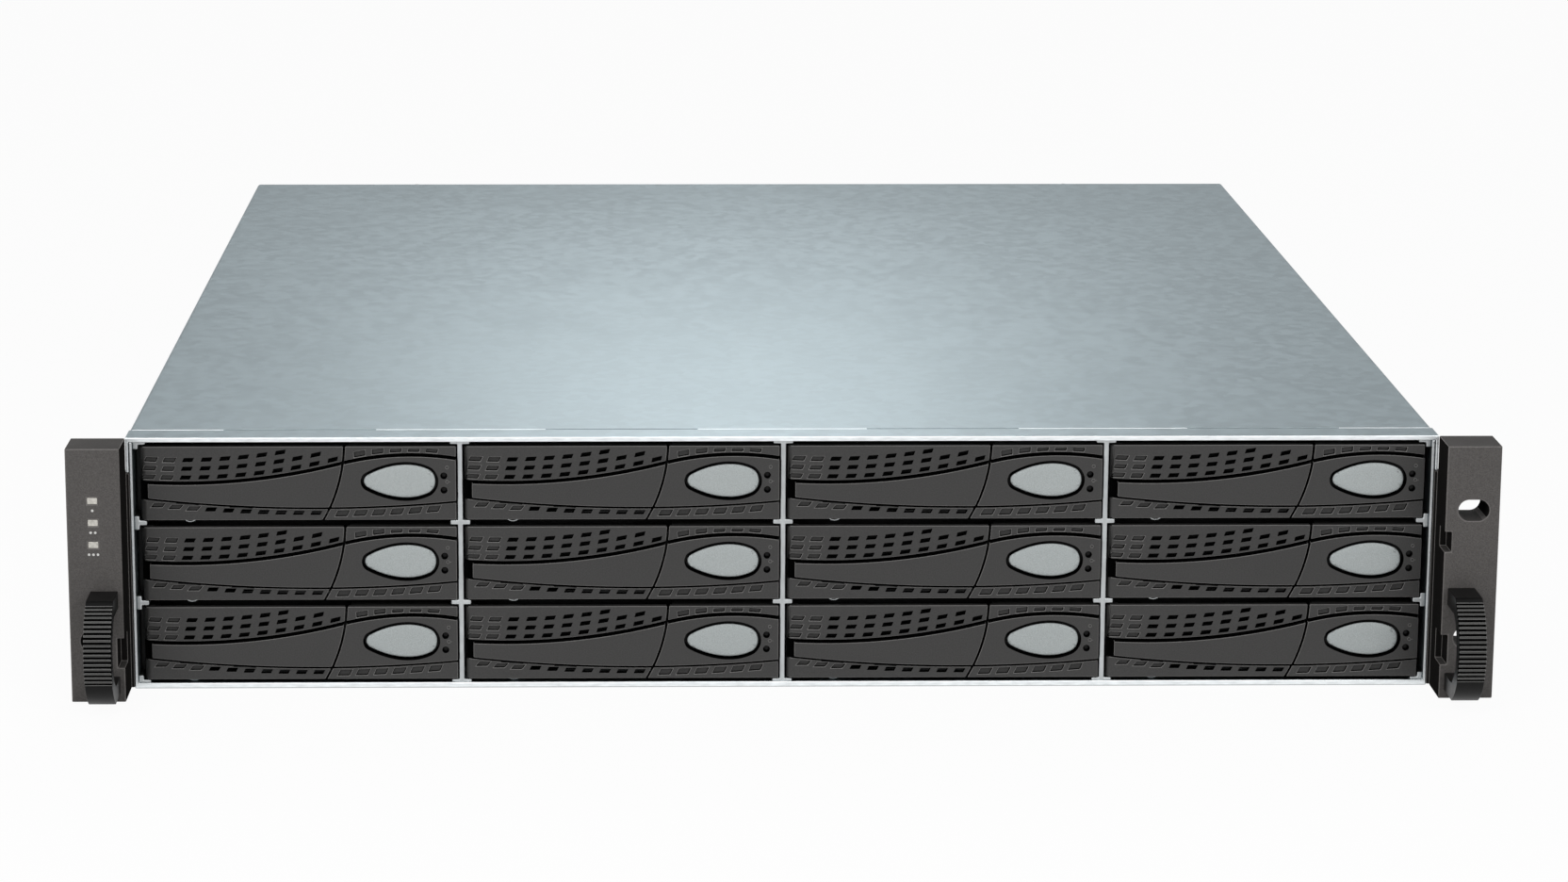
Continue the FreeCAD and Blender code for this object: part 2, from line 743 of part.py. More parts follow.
def ears():
    face = front - S.ear_depth
    for name, side in (("left_ear", -1), ("right_ear", 1)):
        body = new_body(name)

        def across(start, end):
            return sorted([start * side, end * side], key=lambda s: s.value)

        add(body, "XZ_Plane", face, front, rectangle(across(half, half + S.ear_width), (0, top)))
        add(body, "XY_Plane", S.ear_tab_low, S.ear_tab_low + S.ear_tab_height,
            rectangle(across(tub_half, tub_half + S.ear_tab), (front, front + S.ear_tab_length)))
        slot_x = (half + S.ear_width - S.rack_slot_inset) * side
        inner_edge = across(half - 1, half + S.notch_depth)
        holes = [ear_slot(slot_x, top - S.rack_hole_low)]
        notches = [rectangle(inner_edge, (S.notch_low, S.notch_low + S.notch_height))]
        if side > 0:
            holes.append(ear_slot(slot_x, top - S.rack_hole_drop))
            upper = top - S.notch_drop
            notches.append(rectangle(inner_edge, (upper - S.notch_drop_height, upper)))
        cut(body, "XZ_Plane", face, front, *holes)
        cut(body, "XZ_Plane", face, face + S.notch_reach, *notches)
        if side < 0:
            windows = []
            lenses = []
            for number in range(3):
                level = top - S.lens_drop - S.lens_pitch * number
                spans = ((slot_x - S.lens_width / 2, slot_x + S.lens_width / 2),
                         (level - S.lens_height / 2, level + S.lens_height / 2))
                windows.append(rectangle(*spans))
                lenses.append(block(f"Lens{number}", spans[0], (face, face + S.lens_depth), spans[1]))
            cut(body, "XZ_Plane", face, face + S.lens_depth, *windows)
            node("status_lenses", group("status_lenses", lenses))
        node(name, body)

    # The bow is drawn about the middle of its round part
    bow = new_body("Bow")
    bow_half = S.handle_height / 2
    bow_back = root(S.handle_bow * S.handle_bow - bow_half * bow_half)
    foot = S.handle_leg - bow_back
    gap_half = bow_half - S.handle_strap
    add(bow, "YZ_Plane", S.handle_width / -2, S.handle_width / 2, [
        (-bow_back, bow_half, S.handle_bow), (-bow_back, -bow_half), (foot, -bow_half),
        (foot, -gap_half), (1 - bow_back, -gap_half, -S.handle_inner_bow), (1 - bow_back, gap_half),
        (foot, gap_half), (foot, bow_half),
    ])
    groove = cut(bow, "YZ_Plane", S.handle_width / -2, S.handle_width / 2,
                 rectangle((-S.handle_bow - 1, S.rib_depth - S.handle_bow), (S.rib_gap / -2, S.rib_gap / 2)))
    ribs = bow.newObject("PartDesign::PolarPattern", "Ribs")
    ribs.Originals = [groove]
    ribs.Axis = (origin_part(bow, "X_Axis"), [""])
    bind(ribs, "Angle", S.rib_angle / 2)
    ribs.Occurrences = 9
    bow.Tip = ribs
    mirrored = DOC.addObject("Part::Mirroring", "BowMirror")
    mirrored.Source = bow
    mirrored.Normal = V(0, 0, 1)
    joined = DOC.addObject("Part::Common", "BowRibbed")
    joined.Base = bow
    joined.Tool = mirrored
    pair = []
    for side in (-1, 1):
        pair.append(group(f"Bow{side + 2}", [joined], (half + S.handle_inset) * side,
                          face - foot, S.handle_base + bow_half))
    node("ear_handles", group("ear_handles", pair))


def midplane():
    body = new_body("Board")
    start = board_front
    add(body, "XZ_Plane", start, start + S.board,
        rectangle((-inner_half, inner_half), (floor, ceiling - 3)))
    windows = []
    plugs = []
    plug = block("Plug", (S.plug_width / -2, S.plug_width / 2), (start - S.plug_reach, start),
                 (0, S.plug_height))
    for column in range(COLUMNS):
        middle = bay_left + bay_width / 2 + bay_pitch * column
        for row in range(ROWS):
            base = floor + S.runner + row_pitch * row
            sill = base + S.window_rise
            windows.append(rectangle((middle - S.window_width / 2, middle + S.window_width / 2),
                                     (sill, sill + S.window_height)))
            plugs.append(group(f"Plug{column}{row}", [plug], middle, 0, base + S.plug_rise))
    cut(body, "XZ_Plane", start, start + S.board, *windows)
    node("midplane", group("midplane", [body] + plugs))


module_top = ceiling - S.rear_rail_height
face = rear + S.module_proud
power_bay = S.power_width + S.module_gap * 2
core_half = inner_half - power_bay - S.steel
shelf = floor + (module_top - floor - S.steel) / 2


def module_cage():
    body = new_body("module_cage")
    start = rear - S.module_length - 10
    wall = core_half + S.steel
    add(body, "XZ_Plane", start, rear, [
        (-wall, floor), (-core_half, floor), (-core_half, shelf), (core_half, shelf),
        (core_half, floor), (wall, floor), (wall, module_top), (core_half, module_top),
        (core_half, shelf + S.steel), (-core_half, shelf + S.steel), (-core_half, module_top),
        (-wall, module_top),
    ])
    node("module_cage", body)


def controllers():
    side = core_half - S.module_gap
    base = floor + S.module_gap
    tall = shelf - floor - S.module_gap * 2
    can = new_body("Canister")
    add(can, "XZ_Plane", rear - S.module_length, face, rectangle((-side, side), (base, base + tall)))
    level = base + tall / 2

    def port(x, wide, high):
        return rectangle((x - wide / 2, x + wide / 2), (level - high / 2, level + high / 2))

    cut(can, "XZ_Plane", face - S.sfp_depth, face,
        port(side - S.sfp_inset, S.sfp_width, S.sfp_height),
        port(side - S.sfp_inset - S.sfp_pitch, S.sfp_width, S.sfp_height))
    cut(can, "XZ_Plane", face - S.jack_depth, face,
        port(side - S.jack_inset, S.jack_width, S.jack_height),
        port(side - S.sas_inset, S.sas_width, S.sas_height))
    pivot_x = S.eject_inset - side
    pivot_y = face + S.eject_radius + S.eject_stand
    lug = S.eject_radius
    lever_low = level - S.eject_height / 2
    lever_high = level + S.eject_height / 2
    for base_z in (lever_low - S.eject_gap - S.eject_lug, lever_high + S.eject_gap):
        add(can, "XY_Plane", base_z, base_z + S.eject_lug, [
            (pivot_x - lug, face), (pivot_x + lug, face), (pivot_x + lug, pivot_y, lug),
            (pivot_x - lug, pivot_y),
        ])

    eject = new_body("Ejector")
    reach = pivot_x + S.eject_length
    add(eject, "XY_Plane", lever_low, lever_high, ("circle", pivot_x, pivot_y, S.eject_radius))
    add(eject, "XY_Plane", lever_low, lever_high, [
        (pivot_x, pivot_y - 2), (reach - 10, pivot_y - 2), (reach, pivot_y + 2),
        (reach, pivot_y + S.eject_radius), (pivot_x, pivot_y + S.eject_radius),
    ])
    rise = shelf + S.steel - floor
    for name, shift in (("controller_lower", 0), ("controller_upper", rise)):
        node(name, group(name, [can], z=shift))
        node(f"{name}_lever", group(f"{name}_lever", [eject], z=shift))


def power():
    start = -inner_half + S.module_gap
    base = floor + S.module_gap
    tall = module_top - S.module_gap - base
    can = new_body("PowerCan")
    add(can, "XZ_Plane", rear - S.module_length, face,
        rectangle((start, start + S.power_width), (base, base + tall)))
    fan_x = start + S.power_width - S.fan_bore - S.fan_inset
    fan_z = base + tall / 2
    cut(can, "XZ_Plane", face - S.fan_depth, face, ("circle", fan_x, fan_z, S.fan_bore))
    port_x = start + S.port_inset
    inlet_z = base + S.inlet_rise
    switch_z = base + S.switch_rise
    cut(can, "XZ_Plane", face - S.inlet_depth, face, rectangle(
        (port_x - S.inlet_width / 2, port_x + S.inlet_width / 2),
        (inlet_z - S.inlet_height / 2, inlet_z + S.inlet_height / 2)))
    cut(can, "XZ_Plane", face - S.switch_depth, face, rectangle(
        (port_x - S.switch_width / 2, port_x + S.switch_width / 2),
        (switch_z - S.switch_height / 2 - S.switch_gap, switch_z + S.switch_height / 2 + S.switch_gap)))
    latch_z = base + tall - S.latch_drop
    latch_x = port_x - S.latch_width / 2 - S.latch_gap
    cut(can, "XZ_Plane", face - S.latch_depth, face, rectangle(
        (latch_x - S.latch_gap, latch_x + S.latch_width + S.latch_travel + S.latch_gap),
        (latch_z - S.latch_height / 2 - S.latch_gap, latch_z + S.latch_height / 2 + S.latch_gap)))
    # Fixed grip between the inlet and the fan
    grip_x = start + S.grip_inset
    grip_out = face + S.grip_reach
    grip_low = base + S.grip_margin
    grip_high = base + tall - S.grip_margin
    bar = S.grip_bar
    grip_in = grip_out - bar
    corner = S.grip_corner
    nook = S.grip_inner_corner
    add(can, "YZ_Plane", grip_x - S.grip_width / 2, grip_x + S.grip_width / 2, [
        (face, grip_low), (grip_out - corner, grip_low), (grip_out, grip_low + corner),
        (grip_out, grip_high - corner), (grip_out - corner, grip_high), (face, grip_high),
        (face, grip_high - bar), (grip_in - nook, grip_high - bar), (grip_in, grip_high - bar - nook),
        (grip_in, grip_low + bar + nook), (grip_in - nook, grip_low + bar), (face, grip_low + bar),
    ])

    latch = new_body("Latch")
    add(latch, "XZ_Plane", face - S.latch_depth + 1, face + 0.5, rectangle(
        (latch_x, latch_x + S.latch_width),
        (latch_z - S.latch_height / 2, latch_z + S.latch_height / 2)))
    add(latch, "XZ_Plane", face + 0.5, face + S.latch_reach, rectangle(
        (latch_x, latch_x + S.latch_blade), (latch_z - S.latch_height / 2, latch_z + S.latch_height / 2)))

    rocker = new_body("Rocker")
    wide = S.switch_width / 2 - S.switch_gap
    tip = S.switch_height / 2 - S.switch_gap
    add(rocker, "YZ_Plane", -wide, wide, [
        (-3, -4), (2, -tip), (0.9, 0), (2, tip), (-3, 4, 5),
    ])
    bind(rocker, "Placement.Rotation.Angle", S.switch_tilt)
    rocker.Placement.Rotation.Axis = V(1, 0, 0)

    rotor = new_body("Rotor")
    add(rotor, "XZ_Plane", S.fan_hub_length / -2, S.fan_hub_length / 2, ("circle", 0, 0, S.fan_hub))
    tilt = S.fan_blade_twist / 2
    reach = S.fan_blade_length / 2
    blade = add(rotor, "XY_Plane", S.fan_hub * 0.8, S.fan_tip, [
        (-tilt - S.fan_blade, -reach), (-tilt, -reach), (tilt + S.fan_blade, reach), (tilt, reach),
    ])
    blades = rotor.newObject("PartDesign::PolarPattern", "Blades")
    blades.Originals = [blade]
    blades.Axis = (origin_part(rotor, "Y_Axis"), [""])
    blades.Angle = 360
    blades.Occurrences = 5
    rotor.Tip = blades

    shift = inner_half * 2 - power_bay
    for name, x in (("left", 0), ("right", shift)):
        node(f"power_{name}", group(f"power_{name}", [can], x=x))
        node(f"power_{name}_latch", group(f"power_{name}_latch", [latch], x=x))
        node(f"power_{name}_switch", group(f"power_{name}_switch", [rocker], port_x + x, face - S.switch_pivot, switch_z))
        node(f"fan_{name}", group(f"fan_{name}", [rotor], fan_x + x, face - S.fan_depth / 2, fan_z))


def write():
    DOC.recompute()
    for thing in DOC.Objects:
        if "Invalid" in thing.State or "Error" in thing.State:
            raise RuntimeError(f"{thing.Label} did not compute: {thing.State}")
    for name, thing in NODES.items():
        if thing.Shape.isNull() or not thing.Shape.isValid() or not thing.Shape.Solids:
            raise RuntimeError(f"{name} has no valid solid")
    os.makedirs("parts", exist_ok=True)
    for name, thing in NODES.items():
        thing.Shape.exportStep(f"parts/{name}.step")


chassis()
bay_dividers()
cover()
carriers()
ears()
midplane()
module_cage()
controllers()
power()
write()
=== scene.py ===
import math

import bmesh
import bpy
from bpy.props import FloatProperty, FloatVectorProperty, IntProperty, PointerProperty
from mathutils import Matrix, Vector


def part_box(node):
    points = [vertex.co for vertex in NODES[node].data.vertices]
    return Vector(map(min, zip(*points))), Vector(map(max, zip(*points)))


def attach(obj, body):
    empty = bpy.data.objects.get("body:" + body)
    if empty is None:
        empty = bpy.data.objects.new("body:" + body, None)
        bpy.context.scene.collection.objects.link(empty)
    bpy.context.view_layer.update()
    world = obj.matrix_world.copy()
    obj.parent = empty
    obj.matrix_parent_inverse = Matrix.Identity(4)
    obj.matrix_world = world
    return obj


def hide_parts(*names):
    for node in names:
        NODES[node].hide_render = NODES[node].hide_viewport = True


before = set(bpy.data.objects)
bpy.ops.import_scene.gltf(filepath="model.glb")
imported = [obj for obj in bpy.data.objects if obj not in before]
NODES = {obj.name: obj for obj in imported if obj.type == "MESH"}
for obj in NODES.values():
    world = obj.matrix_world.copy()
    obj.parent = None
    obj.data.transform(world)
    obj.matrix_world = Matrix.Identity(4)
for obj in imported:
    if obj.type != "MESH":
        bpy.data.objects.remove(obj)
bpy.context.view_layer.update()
MM = 0.001

bl_info = {
    "name": "Storage array",
    "version": (1, 0, 0),
    "blender": (4, 5, 0),
    "location": "View3D > Sidebar > Storage array",
    "description": "Dresses the packed storage array: carriers, enclosure, ears, modules and stage",
    "category": "Object",
}

COLUMNS = 4
ROWS = 3

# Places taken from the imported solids
LEVER_LOW, LEVER_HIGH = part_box("carrier_lever_01")
CARRIER_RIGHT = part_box("drive_carrier_01")[1].x
NEXT_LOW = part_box("carrier_lever_02")[0]
BELOW_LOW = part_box("carrier_lever_05")[0]
COLUMN_STEP = NEXT_LOW.x - LEVER_LOW.x
ROW_STEP = LEVER_LOW.z - BELOW_LOW.z
LEFT = LEVER_LOW.x - 0.1 * MM
LOW = LEVER_LOW.z
TALL = LEVER_HIGH.z - LEVER_LOW.z
TALL_MM = TALL / MM
WIDE = CARRIER_RIGHT - LEFT
FRONT = LEVER_LOW.y
SKIN = FRONT + 0.8 * MM
OUTSIDE = FRONT - 1 * MM

# Cleaning of meshes
DOUBLED = 1e-6
SLIVER = 0.06 * MM
THIN = 0.02 * MM
FLAT = math.radians(0.5)

AXIS_TURN = {"X": (0, math.pi / 2, 0), "Y": (math.pi / 2, 0, 0), "Z": (0, 0, 0)}


# Selecting and editing


def clear_selection():
    if bpy.context.object and bpy.context.object.mode != "OBJECT":
        bpy.ops.object.mode_set(mode="OBJECT")
    bpy.ops.object.select_all(action="DESELECT")


def pick(piece):
    clear_selection()
    piece.select_set(True)
    bpy.context.view_layer.objects.active = piece


def open_edit(piece, kind="FACE"):
    pick(piece)
    bpy.ops.object.mode_set(mode="EDIT")
    bpy.ops.mesh.select_mode(type=kind)
    bpy.ops.mesh.select_all(action="DESELECT")
    return bmesh.from_edit_mesh(piece.data)


def close_edit():
    bpy.ops.object.mode_set(mode="OBJECT")


def edit_all(piece):
    open_edit(piece)
    bpy.ops.mesh.select_all(action="SELECT")


def extrude(shift):
    bpy.ops.mesh.extrude_region_move(TRANSFORM_OT_translate={"value": shift})


def choose(piece, kind, test):
    """Open the piece and select the faces or edges that pass the test."""
    mesh = open_edit(piece, kind)
    found = [item for item in (mesh.faces if kind == "FACE" else mesh.edges) if test(item)]
    for item in found:
        item.select_set(True)
    mesh.select_flush_mode()
    bmesh.update_edit_mesh(piece.data)
    if not found:
        raise RuntimeError(f"nothing to select on {piece.name}")


def middle_of(edge):
    return (edge.verts[0].co + edge.verts[1].co) / 2


# Shaping


def settle(piece):
    pick(piece)
    bpy.ops.object.transform_apply(location=True, rotation=True, scale=True)
    return piece


def finish_modifier(piece, modifier):
    pick(piece)
    bpy.ops.object.modifier_apply(modifier=modifier.name)


def smooth(piece, angle=48):
    pick(piece)
    bpy.ops.object.shade_smooth_by_angle(angle=math.radians(angle))
    weigh = piece.modifiers.new("Even", "WEIGHTED_NORMAL")
    weigh.keep_sharp = True
    finish_modifier(piece, weigh)
    return piece


def weld(piece):
    """Merge the slivers that carving leaves, which would hold back the rounding."""
    edit_all(piece)
    bpy.ops.mesh.remove_doubles(threshold=SLIVER)
    bpy.ops.mesh.dissolve_degenerate(threshold=THIN)
    bpy.ops.mesh.select_all(action="SELECT")
    bpy.ops.mesh.dissolve_limited(angle_limit=FLAT, delimit={"NORMAL", "MATERIAL"})
    close_edit()


def clean(piece):
    """Merge doubled points and join flat faces."""
    edit_all(piece)
    bpy.ops.mesh.remove_doubles(threshold=DOUBLED)
    bpy.ops.mesh.dissolve_limited(angle_limit=FLAT)
    close_edit()


def round_edges(piece, width, segments=2, angle=35, highlight_finish=-1):
    """Round the sharp edges; a highlight finish is the number of the finish that the rounding takes, a
    lighter one that paints a highlight along the edges.
    """
    weld(piece)
    bevel = piece.modifiers.new("Round", "BEVEL")
    bevel.width = width * MM
    bevel.segments = segments
    bevel.limit_method = "ANGLE"
    bevel.angle_limit = math.radians(angle)
    bevel.material = highlight_finish
    bevel.use_clamp_overlap = False
    finish_modifier(piece, bevel)
    return smooth(piece)


def combine(piece, other, operation):
    """Apply a boolean with another shape, which is used up."""
    boolean = piece.modifiers.new("Combine", "BOOLEAN")
    boolean.operation = operation
    boolean.solver = "EXACT"
    boolean.object = other
    finish_modifier(piece, boolean)
    bpy.data.objects.remove(other)


def carve(piece, cutter):
    combine(piece, cutter, "DIFFERENCE")
    clean(piece)
    return piece


def merge(piece, addition):
    combine(piece, addition, "UNION")
    weld(piece)
    return piece


def join(pieces, name):
    clear_selection()
    for piece in pieces:
        piece.select_set(True)
    bpy.context.view_layer.objects.active = pieces[0]
    if len(pieces) > 1:
        bpy.ops.object.join()
    pieces[0].name = name
    pieces[0].data.name = name
    return pieces[0]


def repeat(piece, name, shift):
    """Copy of a piece with its own mesh, moved by a shift."""
    copy = bpy.data.objects.new(name, piece.data.copy())
    copy.data.transform(Matrix.Translation(shift))
    bpy.context.collection.objects.link(copy)
    return copy


def added(name, scale=(1, 1, 1)):
    """The primitive just added, with its name, and with its turn and scale applied."""
    piece = bpy.context.object
    piece.name = name
    piece.scale = scale
    return settle(piece)


def box_shape(name, low, high):
    low = Vector(low)
    high = Vector(high)
    clear_selection()
    bpy.ops.mesh.primitive_cube_add(size=1, location=(low + high) / 2)
    return added(name, high - low)


def rod(name, centre, radius, length, axis="Y", sides=24):
    clear_selection()
    bpy.ops.mesh.primitive_cylinder_add(vertices=sides, radius=radius, depth=length, location=centre,
                                        rotation=AXIS_TURN[axis])
    return added(name)


def ring(name, centre, radius, thickness, axis="Y", sides=32, around=8):
    clear_selection()
    bpy.ops.mesh.primitive_torus_add(major_segments=sides, minor_segments=around, major_radius=radius,
                                     minor_radius=thickness, location=centre, rotation=AXIS_TURN[axis])
    return added(name)


def prism(name, outline, front, back, axis="Y"):
    """Outline of (x, z) points extruded along y, or of (y, z) points extruded along x."""
    clear_selection()
    bpy.ops.mesh.primitive_circle_add(vertices=len(outline), radius=1, fill_type="NGON")
    piece = bpy.context.object
    piece.name = name
    for point, (across, up) in zip(piece.data.vertices, outline):
        point.co = (across, front, up) if axis == "Y" else (front, across, up)
    edit_all(piece)
    extrude((0, back - front, 0) if axis == "Y" else (back - front, 0, 0))
    bpy.ops.mesh.select_all(action="SELECT")
    bpy.ops.mesh.normals_make_consistent(inside=False)
    close_edit()
    return piece


def trace(node, name):
    """Merged copy of a CAD node's mesh, with its flat faces joined."""
    mesh = NODES[node].data.copy()
    mesh.name = name
    mesh.materials.clear()
    piece = bpy.data.objects.new(name, mesh)
    bpy.context.collection.objects.link(piece)
    clean(piece)
    return piece


def loose_parts(piece):
    edit_all(piece)
    bpy.ops.mesh.separate(type="LOOSE")
    close_edit()
    return list(bpy.context.selected_objects)


def span(piece, axis):
    values = [point.co[axis] for point in piece.data.vertices]
    return min(values), max(values)


def coat_more(piece, *names):
    """Add finishes by their names after those that a piece has."""
    for name in names:
        piece.data.materials.append(FINISHES[name])
    return piece


def coat(piece, *names):
    """Give a piece these finishes and no others."""
    piece.data.materials.clear()
    return coat_more(piece, *names)


def tint(piece, number, test):
    """Give the faces that pass the test another of the piece's finishes."""
    for face in piece.data.polygons:
        if test(face):
            face.material_index = number


def place(piece, body, slot, *nodes):
    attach(piece, body)
    if nodes:
        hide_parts(*nodes)
    return piece


# Finishes

FINISHES = {}
NOISE_RANGE = (0.3, 0.7)


def finish(name, colour, roughness, metallic=0.0, specular=0.5):
    material = bpy.data.materials.new(name)
    material.use_nodes = True
    shader = material.node_tree.nodes["Principled BSDF"]
    shader.inputs["Base Color"].default_value = (*colour, 1)
    shader.inputs["Roughness"].default_value = roughness
    shader.inputs["Metallic"].default_value = metallic
    shader.inputs["Specular IOR Level"].default_value = specular
    FINISHES[name] = material
    return material.node_tree, shader


def place_noise(tree, kind, scale, stretch=(1, 1, 1)):
    where = tree.nodes.new("ShaderNodeTexCoord")
    mapping = tree.nodes.new("ShaderNodeMapping")
    mapping.inputs["Scale"].default_value = stretch
    tree.links.new(where.outputs["Object"], mapping.inputs["Vector"])
    texture = tree.nodes.new(kind)
    texture.inputs["Scale"].default_value = scale
    tree.links.new(mapping.outputs["Vector"], texture.inputs["Vector"])
    return texture


def vary_colour(tree, shader, source, low, high):
    """Let the colour run between two tones with a noise."""
    ramp = tree.nodes.new("ShaderNodeValToRGB")
    for element, stop, tone in zip(ramp.color_ramp.elements, NOISE_RANGE, (low, high)):
        element.position = stop
        element.color = (*tone, 1)
    tree.links.new(source, ramp.inputs["Fac"])
    tree.links.new(ramp.outputs["Color"], shader.inputs["Base Color"])


def vary_roughness(tree, shader, source, low, high):
    """Let the roughness run between two values with a noise."""
    scale = tree.nodes.new("ShaderNodeMapRange")
    for name, value in zip(("From Min", "From Max", "To Min", "To Max"), (*NOISE_RANGE, low, high)):
        scale.inputs[name].default_value = value
    tree.links.new(source, scale.inputs["Value"])
    tree.links.new(scale.outputs["Result"], shader.inputs["Roughness"])


def raise_bump(tree, shader, source, strength, depth):
    bump = tree.nodes.new("ShaderNodeBump")
    bump.inputs["Strength"].default_value = strength
    bump.inputs["Distance"].default_value = depth
    tree.links.new(source, bump.inputs["Height"])
    tree.links.new(bump.outputs["Normal"], shader.inputs["Normal"])


def shade(colour, factor):
    return tuple(min(part * factor, 1) for part in colour)


def zinc_sheet(name, colour, roughness):
    """Zinc-coated sheet: faint crystals, a soft cloud and fine rolling grain."""
    tree, shader = finish(name, colour, roughness, metallic=1.0)
    shader.inputs["Specular Tint"].default_value = (0.5, 0.51, 0.52, 1)
    crystals = place_noise(tree, "ShaderNodeTexVoronoi", 260)
    cloud = place_noise(tree, "ShaderNodeTexNoise", 14)
    grain = place_noise(tree, "ShaderNodeTexNoise", 900, (1, 0.15, 1))
    mixed = tree.nodes.new("ShaderNodeMix")
    mixed.data_type = "FLOAT"
    mixed.inputs[0].default_value = 0.35
    tree.links.new(crystals.outputs["Color"], mixed.inputs[2])
    tree.links.new(cloud.outputs["Fac"], mixed.inputs[3])
    vary_colour(tree, shader, mixed.outputs[0], shade(colour, 0.94), shade(colour, 1.05))
    vary_roughness(tree, shader, mixed.outputs[0], roughness - 0.015, roughness + 0.02)
    raise_bump(tree, shader, grain.outputs["Fac"], 0.06, 0.0002)


def moulded_plastic(name, colour, roughness, grain_scale=2600, strength=0.25, specular=0.5):
    """Moulded plastic with a fine spark-eroded grain."""
    tree, shader = finish(name, colour, roughness, specular=specular)
    grain = place_noise(tree, "ShaderNodeTexNoise", grain_scale)
    grain.inputs["Detail"].default_value = 3
    cloud = place_noise(tree, "ShaderNodeTexNoise", 60)
    vary_colour(tree, shader, grain.outputs["Fac"], shade(colour, 0.8), shade(colour, 1.25))
    vary_roughness(tree, shader, cloud.outputs["Fac"], roughness - 0.06, roughness + 0.06)
    raise_bump(tree, shader, grain.outputs["Fac"], strength, 0.0001)


def brushed_metal(name, colour, roughness, stretch, scale=1200, grazing=1.0):
    """Metal with fine brushed lines; a lower grazing value keeps it from whitening at flat angles."""
    tree, shader = finish(name, colour, roughness, metallic=1.0)
    shader.inputs["Specular Tint"].default_value = (grazing, grazing, grazing, 1)
    lines = place_noise(tree, "ShaderNodeTexNoise", scale, stretch)
    vary_colour(tree, shader, lines.outputs["Fac"], shade(colour, 0.88), shade(colour, 1.08))
    vary_roughness(tree, shader, lines.outputs["Fac"], roughness - 0.05, roughness + 0.08)
    raise_bump(tree, shader, lines.outputs["Fac"], 0.05, 0.0001)


def make_finishes(colours):
    zinc_sheet("galvanised_sheet", colours.sheet, 0.42)
    zinc_sheet("cage_sheet", shade(colours.sheet, 0.85), 0.5)
    # Bright metal: the spring's own finish, and a painted highlight on the front lips of the tub, rail
    # and cover
    brushed_metal("bright_edge", colours.edge, 0.42, (0.2, 1, 1))
    # The dividers' own cast tone, and painted shade on the tub's side strips and bottom lip
    brushed_metal("cast_divider", shade(colours.edge, 0.58), 0.4, (1, 1, 0.3), 700)
    brushed_metal("module_face", (0.55, 0.57, 0.58), 0.38, (0.1, 1, 1), grazing=0.6)
    brushed_metal("steel_screw", (0.5, 0.5, 0.5), 0.3, (1, 1, 1))
    brushed_metal("plated_shell", (0.62, 0.6, 0.55), 0.28, (1, 0.2, 1))
    brushed_metal("gold_contact", (0.75, 0.53, 0.2), 0.3, (1, 0.2, 1))
    brushed_metal("drive_casting", (0.42, 0.43, 0.44), 0.45, (1, 1, 1), 500, 0.5)
    moulded_plastic("carrier_plastic", colours.carrier, 0.5, 2200, 0.35)
    # Lighter plastic: a painted highlight on the fronts' rounded edges, and the print of the marks
    # beside the lights
    moulded_plastic("carrier_edge", shade(colours.carrier, 5), 0.42, 2200, 0.2)
    # Black without gloss: painted shade in the vents, holes and grooves of the fronts and in the
    # grooves of the handle grips
    moulded_plastic("vent_black", (0.002, 0.002, 0.002), 0.8, 2600, 0.1, 0.0)
    # Darker plastic on the floors of the blind pockets: painted shade
    moulded_plastic("carrier_recess", shade(colours.carrier, 0.8), 0.55, 2200, 0.3, 0.4)
    moulded_plastic("tray_coat", (0.014, 0.014, 0.014), 0.55, 1800, 0.2)
    moulded_plastic("button_plastic", colours.button, 0.42, 3600, 0.1)
    moulded_plastic("ear_coat", colours.ear, 0.75, 3000, 0.2, 0.1)
    # Lighter coat on the ears' rounded edges: a painted highlight
    moulded_plastic("ear_edge", shade(colours.ear, 1.5), 0.6, 3000, 0.1, 0.2)
    # Darker coat on the ears' top faces: painted shade
    moulded_plastic("ear_top", shade(colours.ear, 0.5), 0.75, 3000, 0.2, 0.1)
    # Near-black coat on the ears' inward faces and set-back flange: painted shade
    moulded_plastic("ear_inner", shade(colours.ear, 0.12), 0.8, 3000, 0.2, 0.0)
    moulded_plastic("handle_plastic", colours.handle, 0.34, 3000, 0.12, 0.1)
    # Lighter plastics for the grip's ribs and their rounded edges: painted highlights
    moulded_plastic("handle_rib", (0.05, 0.05, 0.048), 0.36, 3000, 0.12, 0.3)
    moulded_plastic("handle_edge", (0.12, 0.12, 0.116), 0.3, 3000, 0.1)
    moulded_plastic("black_plastic", (0.008, 0.008, 0.008), 0.5, 2600, 0.25, 0.3)
    moulded_plastic("latch_plastic", (0.02, 0.12, 0.1), 0.4)
    moulded_plastic("light_pipe", (0.006, 0.006, 0.006), 0.3, specular=0.15)
    moulded_plastic("window_lens", (0.62, 0.6, 0.55), 0.3, 900, 0.2)
    moulded_plastic("mark_paint", (0.7, 0.7, 0.68), 0.5)
    moulded_plastic("board_mask", (0.01, 0.1, 0.045), 0.35, 800, 0.1)


# Carrier fronts


def arc(start, end, radius, hollow):
    """Height of a shallow arc at a distance from the carrier's left end, in millimetres."""
    run = end[0] - start[0]
    climb = end[1] - start[1]
    chord = math.hypot(run, climb)
    reach = math.sqrt(radius * radius - chord * chord / 4)
    side = 1 if hollow else -1
    centre = ((start[0] + end[0]) / 2 - side * climb / chord * reach,
              (start[1] + end[1]) / 2 + side * run / chord * reach)
    return lambda u: centre[1] - side * math.sqrt(radius * radius - (u - centre[0]) ** 2)


